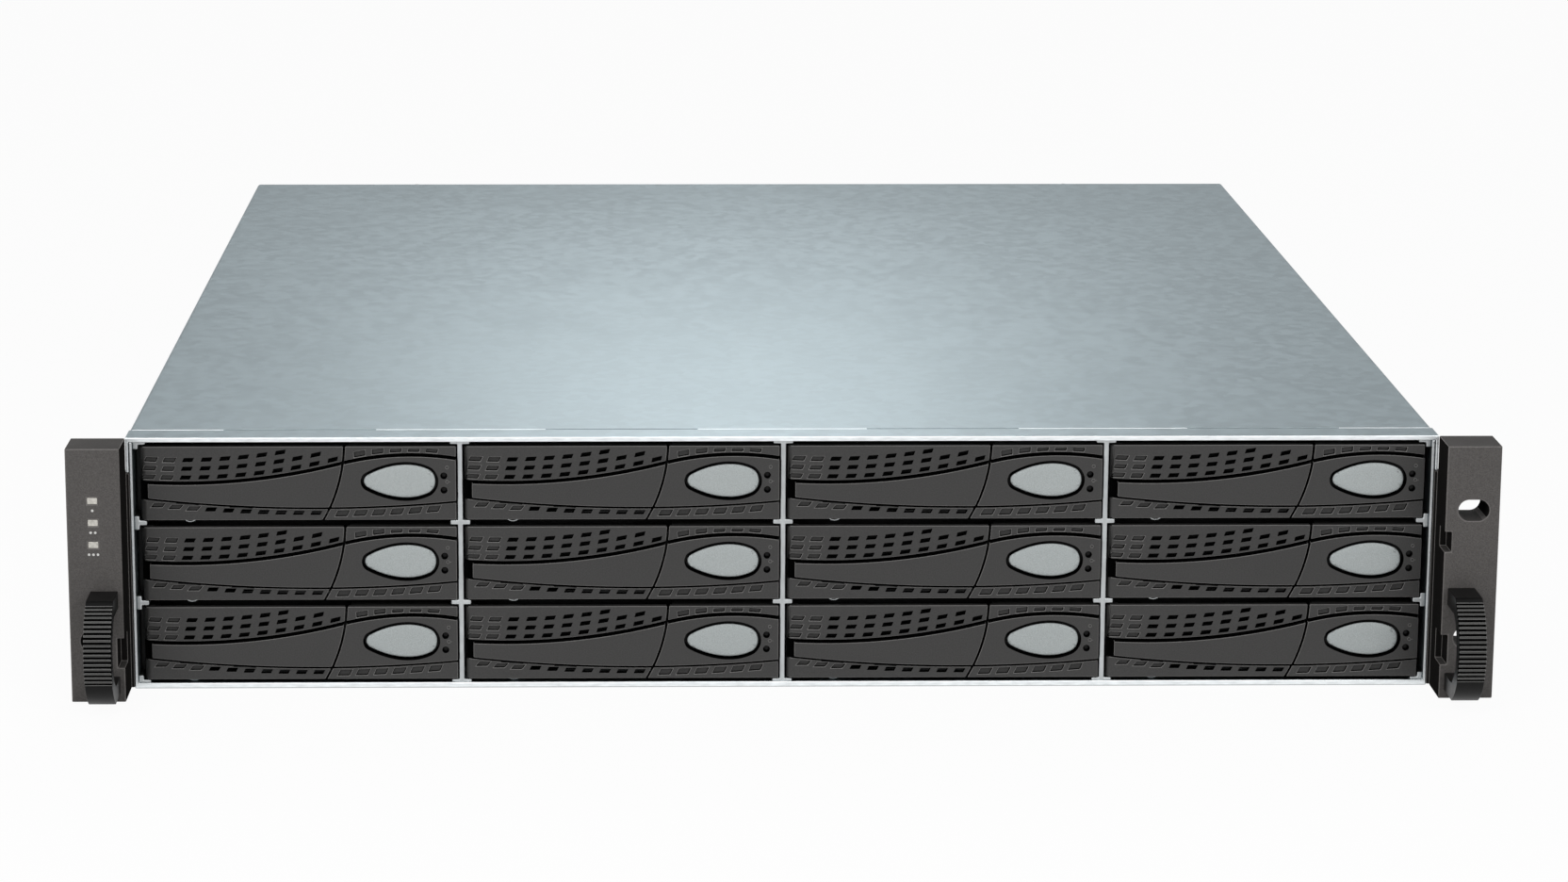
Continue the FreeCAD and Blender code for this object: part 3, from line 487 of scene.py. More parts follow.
# Places and sizes on a front, in millimetres along and up from its lower left corner
WIDE_MM = 107.175
EGG_LONG = 24.2
EGG_START = WIDE_MM - 7.0 - EGG_LONG
EGG_LEVEL = 13.55
EGG_REACH = 6.8
EGG_LEAN = 0.05
WAVE_START = 2.6
WAVE_JOIN = (67.0, 19.0)
upper_hollow = arc((WAVE_START, 12.85), WAVE_JOIN, 217.0, True)
upper_crown = arc(WAVE_JOIN, (WIDE_MM, 21.0), 96.0, False)
lower_wave = arc((WAVE_START, 7.5), (WIDE_MM, 6.4), 508.0, True)
LIGHT_ALONG = 103.1
LIGHT_LEVELS = (TALL_MM - 10.5, TALL_MM - 15.5)
MARK_ALONG = 104.2
MARK_LEVELS = (TALL_MM - 7.6, TALL_MM - 12.6)
LEVER_GAP = 0.45
FIXED_GAP = 0.35
UPPER_VENTS = 12.4
LOWER_VENTS = 20.6
BORE = (74.5, 101.7)
BORE_BLUNT = 79

# Depths below the skin past which painted shade goes on: floors of recesses, floors of holes, and the
# lower part of walls
RECESS_FLOOR = SKIN + 0.3 * MM
HOLE_FLOOR = SKIN + 0.95 * MM
DEEP_WALL = SKIN + 0.45 * MM


def seam(v):
    """Place along the carrier of the curved seam between lever and fixed half, at a height."""
    return 14.95 + math.sqrt(54.5 * 54.5 - (v - 27.34) ** 2)


def solid_seam(v):
    """The same seam as the solids have it, a little further along."""
    return 34.51 + math.sqrt(36.0 * 36.0 - (v - 20.21) ** 2)


def upper_wave(u):
    return upper_hollow(u) if u < WAVE_JOIN[0] else upper_crown(u)


def at(u, v):
    """Point (x, z) in metres from millimetres along and up the first carrier's front."""
    return LEFT + u * MM, LOW + v * MM


def strip(name, start, end, edge, low, high, back, steps=28):
    """Cutter that follows an edge from one end to the other, between two offsets."""
    stops = [start + (end - start) * step / steps for step in range(steps + 1)]
    outline = [at(u, edge(u) + low) for u in stops] + [at(u, edge(u) + high) for u in reversed(stops)]
    return prism(name, outline, OUTSIDE, back)


def along_seam(heights, near, far):
    """Outline between the seam and the solids' seam, each with an offset."""
    outline = [at(seam(v) + near, v) for v in heights]
    return outline + [at(solid_seam(v) + far, v) for v in reversed(heights)]


def pocket(u, v, slope, size, back):
    """Slanted cutter for a blind pocket; the size is its length, height and slant."""
    length, height, slant = size
    outline = []
    for run, step in ((-1, -1), (1, -1), (1, 1), (-1, 1)):
        along = run * length / 2 + step * slant
        across = step * height / 2
        outline.append(at(u + along * math.cos(slope) - across * math.sin(slope),
                          v + along * math.sin(slope) + across * math.cos(slope)))
    return prism("Pocket", outline, OUTSIDE, back)


def slope_of(edge, u):
    return math.atan2(edge(u + 0.1) - edge(u), 0.1)


# Settings


def length_setting(name, description, default):
    return FloatProperty(name=name, description=description, default=default, unit="LENGTH")


def number_setting(name, description, default):
    return FloatProperty(name=name, description=description, default=default)


def colour_setting(name, description, default):
    return FloatVectorProperty(name=name, description=description, subtype="COLOR", default=default,
                               min=0, max=1)


class FrontSettings(bpy.types.PropertyGroup):
    """Sizes of the moulded carrier fronts."""

    pocket_depth: length_setting("Pocket depth", "Depth of the blind vent pockets", 0.8 * MM)
    groove_width: number_setting("Groove width", "Width of the groove along the wave, mm", 1.1)
    groove_depth: length_setting("Groove depth", "Depth of the groove below the skin", 1.5 * MM)
    edge_round: number_setting("Edge rounding", "Rounding of moulded edges, mm", 0.18)
    brim: length_setting("Brim", "Height taken off the top edge of the fronts", 0.45 * MM)
    light_radius: length_setting("Light radius", "Radius of the two light holes", 1.0 * MM)


class FinishSettings(bpy.types.PropertyGroup):
    """Colours of the main finishes."""

    sheet: colour_setting("Sheet", "Zinc-coated sheet", (0.315, 0.366, 0.386))
    # Edge colour: the dividers' and spring's own metal, and a painted highlight on the sheet's front
    # lips
    edge: colour_setting("Edges", "Bright cut edges and dividers", (0.83, 0.865, 0.88))
    carrier: colour_setting("Carriers", "Moulded carrier fronts", (0.03, 0.0292, 0.0285))
    button: colour_setting("Buttons", "Release buttons", (0.43, 0.465, 0.465))
    ear: colour_setting("Ears", "Coated rack ears", (0.108, 0.102, 0.0985))
    handle: colour_setting("Handles", "Bow handles", (0.005, 0.005, 0.005))


class StageSettings(bpy.types.PropertyGroup):
    """Camera and light."""

    lens: number_setting("Lens", "Focal length in millimetres", 98.16)
    key_power: number_setting("Key light", "Power of the front left light in watts", 5)
    fill_power: number_setting("Fill light", "Power of the front right light in watts", 4)
    top_power: number_setting("Top light", "Power of the overhead light in watts", 2)
    back_power: number_setting("Back light", "Power of the light behind in watts", 0.28)
    world: number_setting("Surroundings", "Strength of the even light", 0.35)
    screws: IntProperty(name="Side screws", description="Screws along each side wall", default=6)


# Carving of the fronts


def wave_grooves(sizes, start, end):
    """Cutters for the grooves along the band's two edges; they bite a little into the band."""
    floor = SKIN + sizes.groove_depth
    return [strip("Groove", start, end, upper_wave, -0.15, sizes.groove_width - 0.15, floor),
            strip("Shadow", start, end, lower_wave, -0.5, 0.3, floor)]


def lean(piece, front, back):
    """Move an egg outline's widest place towards its blunt end, between two depths."""
    for point in piece.data.vertices:
        along = ((point.co.x - LEFT) / MM - EGG_START) / EGG_LONG
        up = (point.co.z - LOW) / MM - EGG_LEVEL
        if 0 < along < 1 and abs(up) < EGG_REACH and front < point.co.y < back:
            point.co.x += EGG_LEAN * EGG_LONG * MM * math.sin(math.pi * along)


def opening(face):
    """Name of the opening that a rim belongs to: a vent, a light hole or the button's bore."""
    u = (face.center.x - LEFT) / MM
    v = (face.center.z - LOW) / MM
    if u < seam(v) - 1.2:
        high = u > UPPER_VENTS and upper_wave(u) + 1.2 < v < TALL_MM - 1
        low = u > LOWER_VENTS and 0.6 < v < lower_wave(u) - 0.85
        return "vent" if high or low else ""
    if abs(u - LIGHT_ALONG) < 1.3 and LIGHT_LEVELS[1] - 1.3 < v < LIGHT_LEVELS[0] + 1.3:
        return "light"
    reach = 5 if u < BORE_BLUNT else 6.95
    return "bore" if BORE[0] < u < BORE[1] and abs(v - EGG_LEVEL) < reach else ""


def finish_front(front, cutters, sizes):
    """Carve a carrier front, paint shade into its recesses, holes and grooves, and round its edges with
    a painted highlight.
    """
    brim = LOW + TALL - sizes.brim
    cutters.append(box_shape("Brim", (LEFT - 5 * MM, FRONT - 2 * MM, brim),
                             (LEFT + WIDE + 5 * MM, FRONT + 9.5 * MM, brim + 5 * MM)))
    for cutter in cutters:
        carve(front, cutter)
    weld(front)
    coat(front, "carrier_plastic", "carrier_edge", "carrier_recess", "vent_black")

    def is_floor(face, level):
        return face.normal.y < -0.9 and face.center.y > level

    def is_inner_wall(face):
        along = (face.center.x - LEFT) / MM
        up = (face.center.z - LOW) / MM
        inside = 2.4 < along < WIDE_MM - 0.6 and 0.6 < up < TALL_MM - 1.2
        return inside and abs(face.normal.y) < 0.3 and face.center.y > SKIN

    # Painted shade: pocket floors take a darker plastic, and the floors and walls of holes and grooves
    # take black
    tint(front, 2, lambda face: is_floor(face, RECESS_FLOOR))
    tint(front, 3, lambda face: is_floor(face, HOLE_FLOOR) or is_inner_wall(face))
    # The roundings take a lighter plastic: a painted highlight
    round_edges(front, sizes.edge_round, highlight_finish=1)
    # The vents' rims lose the painted highlight; the rims of the light holes and the bore, and the
    # deeper walls and roundings, take the black painted shade
    tint(front, 0, lambda face: face.material_index == 1 and opening(face) == "vent")
    tint(front, 3, lambda face: face.material_index == 1 and opening(face) in ("light", "bore"))
    tint(front, 3, lambda face: face.material_index < 2 and face.center.y > DEEP_WALL
         and is_inner_wall(face))
    tint(front, 3, lambda face: face.material_index == 1 and face.center.y > DEEP_WALL)


def bays():
    for row in range(ROWS):
        for column in range(COLUMNS):
            number = f"{row * COLUMNS + column + 1:02d}"
            yield number, Vector((column * COLUMN_STEP, 0, -row * ROW_STEP))


def spread(piece, stem, body_stem, slot, node_stem=None):
    """Put a finished first piece into all twelve bays."""
    for number, shift in bays():
        copy = piece if number == "01" else repeat(piece, f"{stem}_{number}", shift)
        copy.name = f"{stem}_{number}"
        nodes = [f"{node_stem}_{number}"] if node_stem else []
        place(copy, f"{body_stem}_{number}", slot, *nodes)


class ARRAY_OT_levers(bpy.types.Operator):
    """Vented levers with blind pockets, wave groove and end recess"""

    bl_idname = "array.levers"
    bl_label = "Carrier levers"

    # The blind pockets go on with the rows of open vents, to the left of them, in millimetres
    vent_start, vent_pitch, row_lean = 15.5, 6.25, 0.5
    row_start, row_pitch = 2.3, 3.05
    low_start, low_pitch, low_drop = 23.9, 5.95, 1.9
    upper_pocket = (4.0, 1.6, 0.35)
    lower_pocket = (3.9, 1.5, 0.6)
    end_recess = (-1, 2.75, 7.2, 13.3)

    def execute(self, context):
        sizes = context.scene.array_front
        lever = trace("carrier_lever_01", "lever_01")
        deep = SKIN + sizes.pocket_depth
        cutters = []
        for row in range(3):
            for column in (-2, -1):
                u = self.vent_start + self.vent_pitch * column + self.row_lean * row
                v = upper_wave(u) + self.row_start + self.row_pitch * row
                cutters.append(pocket(u, v, slope_of(upper_wave, u), self.upper_pocket, deep))
        for column in (-3, -2, -1):
            u = self.low_start + self.low_pitch * column
            cutters.append(pocket(u, lower_wave(u) - self.low_drop, 0, self.lower_pocket, deep))
        cutters.extend(wave_grooves(sizes, -1, 72))
        left, right, low, high = self.end_recess
        end = [at(left, low), at(right, low), at(right, high), at(left, high)]
        cutters.append(prism("End", end, OUTSIDE, SKIN + sizes.groove_depth))
        heights = [-0.6 + 1.15 * step for step in range(25)]
        cutters.append(prism("Seam", along_seam(heights, -LEVER_GAP, 2), OUTSIDE, SKIN + 2.8 * MM))
        finish_front(lever, cutters, sizes)
        spread(lever, "lever", "lever", "dark_plastic", "carrier_lever")
        return {"FINISHED"}


class ARRAY_OT_carriers(bpy.types.Operator):
    """Fixed carrier fronts, trays and drives"""

    bl_idname = "array.carriers"
    bl_label = "Drive carriers"

    # Blind pockets of the fixed half, in millimetres; the upper ones end below the brim
    high_start, high_pitch, high_rise = 74.6, 6.13, 1.35
    high_long, high_tall, high_slant, high_rim = 3.9, 1.9, 0.15, 0.8
    low_start, low_pitch, low_drop = 68.5, 6.2, 2.05
    lower_pocket = (4.1, 2.1, 0.55)

    # Lid of a drive, inside a rim and a gasket line
    lid_rim, gasket_depth, gasket_wide, lid_rise = 3 * MM, 0.9 * MM, 1.3 * MM, 0.7 * MM

    # Rings in the lid: place across from the middle in millimetres, share of the length, radius
    lid_rings = ((0, 0.37, 25), (0, 0.37, 9), (24, 0.76, 8))

    def execute(self, context):
        sizes = context.scene.array_front
        parts = loose_parts(trace("drive_carrier_01", "carrier_01"))
        parts.sort(key=lambda part: span(part, 1)[1] - span(part, 1)[0])
        if len(parts) != 3:
            raise RuntimeError(f"the carrier came apart into {len(parts)} pieces")
        bezel, drive, tray = parts
        lean(bezel, OUTSIDE, SKIN + 9 * MM)
        self.reach_seam(bezel)
        deep = SKIN + sizes.pocket_depth
        cutters = []
        for column in range(5):
            u = self.high_start + self.high_pitch * column
            low = upper_wave(u) + self.high_rise
            high = min(low + self.high_tall, (TALL - sizes.brim) / MM - self.high_rim)
            size = (self.high_long, high - low, self.high_slant)
            cutters.append(pocket(u, (low + high) / 2, slope_of(upper_wave, u), size, deep))
        for column in range(6):
            u = self.low_start + self.low_pitch * column
            v = lower_wave(u) - self.low_drop
            cutters.append(pocket(u, v, slope_of(lower_wave, u), self.lower_pocket, deep))
        cutters.extend(wave_grooves(sizes, 60, 109))
        for v in LIGHT_LEVELS:
            x, z = at(LIGHT_ALONG, v)
            cutters.append(rod("Hole", (x, FRONT, z), sizes.light_radius, 4 * MM, sides=20))
        finish_front(bezel, cutters, sizes)
        bezel = join([bezel] + self.make_marks(), "carrier_front_01")
        spread(bezel, "carrier_front", "carrier", "dark_plastic", "drive_carrier")

        lights = []
        for v in LIGHT_LEVELS:
            x, z = at(LIGHT_ALONG, v)
            pipe = rod("Pipe", (x, FRONT + 2.2 * MM, z), sizes.light_radius * 0.92, 1.6 * MM, sides=16)
            lights.append(round_edges(pipe, 0.25))
        lights = coat(join(lights, "light_pipes_01"), "light_pipe")
        spread(lights, "light_pipes", "carrier", "lens")

        round_edges(tray, 0.25)
        coat(tray, "tray_coat")
        spread(tray, "carrier_tray", "carrier", "dark_plastic")
        self.make_drive(drive)
        self.make_spring()
        return {"FINISHED"}

    def make_marks(self):
        """Two plain rings and a stroke beside the lights."""
        marks = []
        for v in MARK_LEVELS:
            x, z = at(MARK_ALONG, v)
            marks.append(ring("Mark", (x, FRONT, z), 0.55 * MM, 0.09 * MM, sides=14, around=4))
        marks.append(box_shape("Stroke", (x + 0.5 * MM, FRONT - 0.06 * MM, z - 0.08 * MM),
                               (x + 1.2 * MM, FRONT + 0.1 * MM, z + 0.08 * MM)))
        return [coat(mark, "carrier_edge") for mark in marks]

    def make_spring(self):
        """Bent earthing spring under the tray's left side."""
        low = Vector((LEFT + 13.6 * MM, FRONT + 5 * MM, LOW - 0.12 * MM))
        half = 2.8 * MM
        spring = box_shape("spring_01", low, low + Vector((2 * half, 5 * MM, 0.25 * MM)))
        edit_all(spring)
        bpy.ops.mesh.subdivide(number_cuts=7)
        close_edit()
        for point in spring.data.vertices:
            across = (point.co.x - low.x - half) / half
            point.co.z -= 1.5 * MM * (1 - across * across)
        smooth(spring)
        coat(spring, "bright_edge")
        spread(spring, "spring", "carrier", "bare_aluminium")

    def reach_seam(self, bezel):
        """Carry the fixed half's skin and band over to the seam's own curve."""
        overlap = 1.4
        heights = [TALL_MM * step / 20 for step in range(21)]
        merge(bezel, prism("Skin", along_seam(heights, FIXED_GAP, overlap), SKIN, SKIN + 2.6 * MM))
        low, high = lower_wave(66) - 0.2, upper_wave(70) + 0.5
        heights = [low + (high - low) * step / 12 for step in range(13)]
        merge(bezel, prism("Band", along_seam(heights, FIXED_GAP, overlap), FRONT, SKIN + 1.3 * MM))

    def make_drive(self, drive):
        """Cast drive: a lid inside a dark gasket line, spindle and pivot rings, and six lid screws."""
        low = Vector([span(drive, axis)[0] for axis in range(3)])
        high = Vector([span(drive, axis)[1] for axis in range(3)])
        choose(drive, "FACE", lambda face: face.normal.z > 0.9)
        bpy.ops.mesh.inset(thickness=self.lid_rim)
        extrude((0, 0, -self.gasket_depth))
        bpy.ops.mesh.inset(thickness=self.gasket_wide)
        extrude((0, 0, self.lid_rise))
        close_edit()
        lid = high.z - 0.2 * MM
        middle = (low.x + high.x) / 2
        for across, share, radius in self.lid_rings:
            spot = Vector((middle + across * MM, low.y + share * (high.y - low.y), lid))
            carve(drive, ring("Ring", spot, radius * MM, 0.7 * MM, axis="Z", sides=48, around=8))
        coat(drive, "drive_casting", "black_plastic")
        # The front face takes black as painted shade for what shows through the vents; the gasket line
        # and the rings' grooves below the lid take the black too
        tint(drive, 1, lambda face: face.normal.y < -0.9
             or (low.z + 5 * MM < face.center.z < lid - 0.05 * MM and face.normal.z > -0.1
                 and low.x + 2 * MM < face.center.x < high.x - 2 * MM
                 and low.y + 2 * MM < face.center.y < high.y - 2 * MM))
        round_edges(drive, 0.25)
        screws = []
        for x in (0.09, 0.91):
            for y in (0.07, 0.5, 0.93):
                spot = Vector((low.x + (high.x - low.x) * x, low.y + (high.y - low.y) * y, lid))
                screws.append(coat(screw_head("Screw", spot, "Z", 2.2 * MM, 0.15 * MM), "steel_screw"))
        drive = join([drive] + screws, "drive_01")
        spread(drive, "drive", "carrier", "bare_aluminium")


class ARRAY_OT_buttons(bpy.types.Operator):
    """Egg-shaped release buttons with a soft crown"""

    bl_idname = "array.buttons"
    bl_label = "Release buttons"

    # Steps of the crown: scale along, scale up, and rise in millimetres
    crown = ((0.976, 0.952, 0.12), (0.984, 0.964, 0.09), (0.965, 0.925, 0.08), (0.93, 0.86, 0.08),
             (0.8, 0.7, 0.05))

    def execute(self, context):
        button = trace("release_button_01", "button_01")
        nearest = span(button, 1)[0]
        lean(button, nearest - 1 * MM, nearest + 2.5 * MM)

        def is_front(face):
            return face.normal.y < -0.9 and abs(face.calc_center_median().y - nearest) < 0.01 * MM

        choose(button, "FACE", is_front)
        bpy.ops.transform.translate(value=(0, 0.45 * MM, 0))
        for wide, high, rise in self.crown:
            extrude((0, -rise * MM, 0))
            bpy.ops.transform.resize(value=(wide, 1, high))
        close_edit()
        smooth(button, 40)
        coat(button, "button_plastic", "black_plastic")
        # The button's sides and back take black: painted shade for the dark ring in the bore
        tint(button, 1, lambda face: face.center.y > nearest + 2.4 * MM or abs(face.normal.y) < 0.25)
        spread(button, "button", "button", "button_grey", "release_button")
        return {"FINISHED"}


# Enclosure


def dress(node, name, body, slot, finish_name, width=0.3, segments=2, edge=None):
    """Rounded copy of a CAD node, in the node's place, with a finish and perhaps a lighter one on its
    rounded edges, a painted highlight.
    """
    piece = coat(trace(node, name), finish_name)
    if edge:
        coat_more(piece, edge)
    round_edges(piece, width, segments, highlight_finish=1 if edge else -1)
    return place(piece, body, slot, node)


def screw_head(name, spot, axis, radius=2.6 * MM, proud=0.7 * MM):
    """Flat screw head with a cross recess."""
    head = rod(name, spot, radius, proud * 2, axis=axis, sides=18)
    number = "XYZ".index(axis)
    for across in (0, 1):
        reach = [0.35 * MM] * 3
        reach[number] = proud * 3
        other = [place_axis for place_axis in range(3) if place_axis != number][across]
        reach[other] = radius * 0.62
        for side in (-1, 1):
            middle = Vector(spot)
            middle[number] += side * proud * 3.5
            size = Vector(reach)
            carve(head, box_shape("Recess", middle - size, middle + size))
    return round_edges(head, 0.12, 1)


class ARRAY_OT_enclosure(bpy.types.Operator):
    """Tub, front rail, dividers, midplane, cage and side screws"""

    bl_idname = "array.enclosure"
    bl_label = "Enclosure"

    # Lips of the tub and rail, which take a painted highlight; the tub's side strips and bottom edge,
    # which take painted shade; and the board's thickness
    tub_lip, side_lip, floor_lip = 1.1 * MM, 1.4 * MM, 0.45 * MM
    rail_lip = 0.5 * MM
    board = 2.4 * MM

    # Side screws: two heights, the first one's distance from the front, and the room at both ends
    screw_heights = (12 * MM, 64 * MM)
    screw_start, screw_room = 70 * MM, 110 * MM

    # Webs of the side guides: thickness, set-back, and the room for the runners below and above
    web, web_back, web_below, web_above = 1.85 * MM, 9 * MM, 3.2 * MM, 1.6 * MM

    def execute(self, context):
        tub = dress("chassis_tub", "tub", "chassis", "galvanised_steel", "galvanised_sheet", 0.4)
        coat_more(tub, "bright_edge", "cast_divider")
        low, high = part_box("chassis_tub")
        inner = high.x - self.side_lip
        # Painted light on the tub's front: its lips take a painted highlight, and the side strips and
        # bottom edge painted shade
        tint(tub, 1, lambda face: face.center.y < FRONT + self.tub_lip)
        tint(tub, 2, lambda face: face.center.y < FRONT + self.tub_lip
             and (abs(face.center.x) > inner or face.center.z < self.floor_lip))
        rail = dress("front_rail", "top_rail", "chassis", "galvanised_steel", "galvanised_sheet",
                     0.3, 3)
        coat_more(rail, "bright_edge")
        # The rail's front lip takes a painted highlight
        tint(rail, 1, lambda face: face.center.y < FRONT + self.rail_lip)
        self.make_dividers()
        dress("module_cage", "module_cage_sheet", "chassis", "galvanised_steel", "cage_sheet", 0.2)
        dress("rear_rail", "rear_cross_rail", "chassis", "galvanised_steel", "galvanised_sheet", 0.3)
        board = dress("midplane", "board", "chassis", "board_green", "board_mask", 0.15)
        coat_more(board, "black_plastic")
        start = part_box("midplane")[1].y - self.board
        tint(board, 1, lambda face: face.center.y < start - 0.1 * MM)

        count = context.scene.array_stage.screws
        heads = []
        master = screw_head("Head", (high.x, 0, 0), "X")
        for step in range(count):
            y = low.y + self.screw_start + step * (high.y - low.y - self.screw_room) / (count - 1)
            for z in self.screw_heights:
                heads.append(repeat(master, "HeadRight", (0, y, z)))
                heads.append(repeat(master, "HeadLeft", (low.x - high.x, y, z)))
        bpy.data.objects.remove(master)
        screws = coat(join(heads, "side_screws"), "steel_screw")
        place(screws, "chassis", "screw_steel")
        return {"FINISHED"}

    def make_dividers(self):
        """Dividers and side guides; the guides' webs stand back behind their runner ends."""
        low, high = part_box("bay_dividers")
        dividers = trace("bay_dividers", "dividers")
        webs = []
        for row in range(ROWS):
            base = low.z + row * ROW_STEP
            for edge, inward in ((low.x, 1), (high.x, -1)):
                sides = sorted((edge - inward * 1 * MM, edge + inward * self.web))
                webs.append(box_shape("Web", (sides[0], low.y - 1 * MM, base + self.web_below),
                                      (sides[1], low.y + self.web_back,
                                       base + ROW_STEP - self.web_above)))
        carve(dividers, join(webs, "Webs"))
        coat(dividers, "cast_divider", "black_plastic")
        round_edges(dividers, 0.4, 3)
        # The side guides behind their front ends take black: painted shade for the dark gap beside the
        # carriers
        edge = high.x - 2.2 * MM
        tint(dividers, 1, lambda face: abs(face.center.x) > edge and face.center.y > low.y + 1.5 * MM)
        place(dividers, "chassis", "bare_aluminium", "bay_dividers")


class ARRAY_OT_cover(bpy.types.Operator):
    """Folded sliding cover with welded tongues, and its thumbscrews"""

    bl_idname = "array.cover"
    bl_label = "Cover"

    sheet = 1.0 * MM
    fold = 1.5 * MM
    rear_flange = 9 * MM
    tongue_reach = 8 * MM
    tongue_middle = 53.6 * MM
    tongue_half = 25 * MM
    notch_half = 26 * MM
    thumb_radius = 4 * MM

    def execute(self, context):
        low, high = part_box("top_cover")
        start = low.y + self.tongue_reach
        flange = high.z - self.rear_flange
        cover = box_shape("cover", (low.x, start, flange), high)
        choose(cover, "FACE", lambda face: face.normal.z < -0.9 or face.normal.y < -0.9)
        bpy.ops.mesh.delete(type="FACE")
        close_edit()
        choose(cover, "EDGE", lambda edge: not edge.is_boundary)
        bpy.ops.mesh.bevel(offset=self.fold, segments=5)
        close_edit()
        near = 0.01 * MM
        choose(cover, "EDGE", lambda edge: edge.is_boundary and abs(middle_of(edge).z - flange) < near
               and abs(edge.verts[0].co.x - edge.verts[1].co.x) < near)
        bpy.ops.mesh.extrude_edges_move(TRANSFORM_OT_translate={"value": (0, 0, low.z - flange)})
        close_edit()
        wall = cover.modifiers.new("Sheet", "SOLIDIFY")
        wall.thickness = self.sheet
        wall.offset = -1
        finish_modifier(cover, wall)
        tongues = []
        for column in range(COLUMNS):
            middle = LEFT + self.tongue_middle + column * COLUMN_STEP
            half = self.notch_half
            carve(cover, box_shape("Notch", (middle - half, start - 1 * MM, high.z - 3 * MM),
                                   (middle + half, start + 0.7 * MM, high.z + 1 * MM)))
            half = self.tongue_half
            tongue = box_shape("Tongue", (middle - half, low.y, high.z - 2.15 * MM),
                               (middle + half, start + 3.5 * MM, high.z - 1.05 * MM))
            tongues.append(round_edges(tongue, 0.3))
        round_edges(cover, 0.15, 2, 60)
        cover = join([cover] + tongues, "cover")
        coat(cover, "galvanised_sheet", "bright_edge")
        # The cover's front edge takes a painted highlight
        lip = high.z - 1.02 * MM
        tint(cover, 1, lambda face: face.center.y < start + 0.2 * MM and face.center.z > lip)
        place(cover, "cover", "galvanised_steel", "top_cover")
        self.make_thumbscrews()
        return {"FINISHED"}

    def make_thumbscrews(self):
        """Knurled thumbscrews with a slot in the end."""
        low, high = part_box("cover_thumbscrews")
        screws = []
        for side in (-1, 1):
            across = side * (high.x - self.thumb_radius)
            spot = Vector((across, (low.y + high.y) / 2, (low.z + high.z) / 2))
            head = rod("Thumb", spot, self.thumb_radius, high.y - low.y, sides=32)
            choose(head, "FACE", lambda face: abs(face.normal.y) < 0.1 and face.index % 2 == 0)
            bpy.ops.mesh.inset(thickness=0.18 * MM, use_individual=True)
            bpy.ops.transform.shrink_fatten(value=-0.35 * MM)
            close_edit()
            choose(head, "FACE", lambda face: face.normal.y > 0.9 and face.calc_area() > 1e-5)
            bpy.ops.mesh.inset(thickness=0.8 * MM)
            bpy.ops.transform.translate(value=(0, -0.5 * MM, 0))
            close_edit()
            slot = box_shape("Slot", spot + Vector((-3 * MM, 1.8 * MM, -0.5 * MM)),
                             spot + Vector((3 * MM, 4 * MM, 0.5 * MM)))
            carve(head, slot)
            screws.append(smooth(head, 30))
        screws = coat(join(screws, "thumbscrews"), "steel_screw")
        place(screws, "cover", "screw_steel", "cover_thumbscrews")


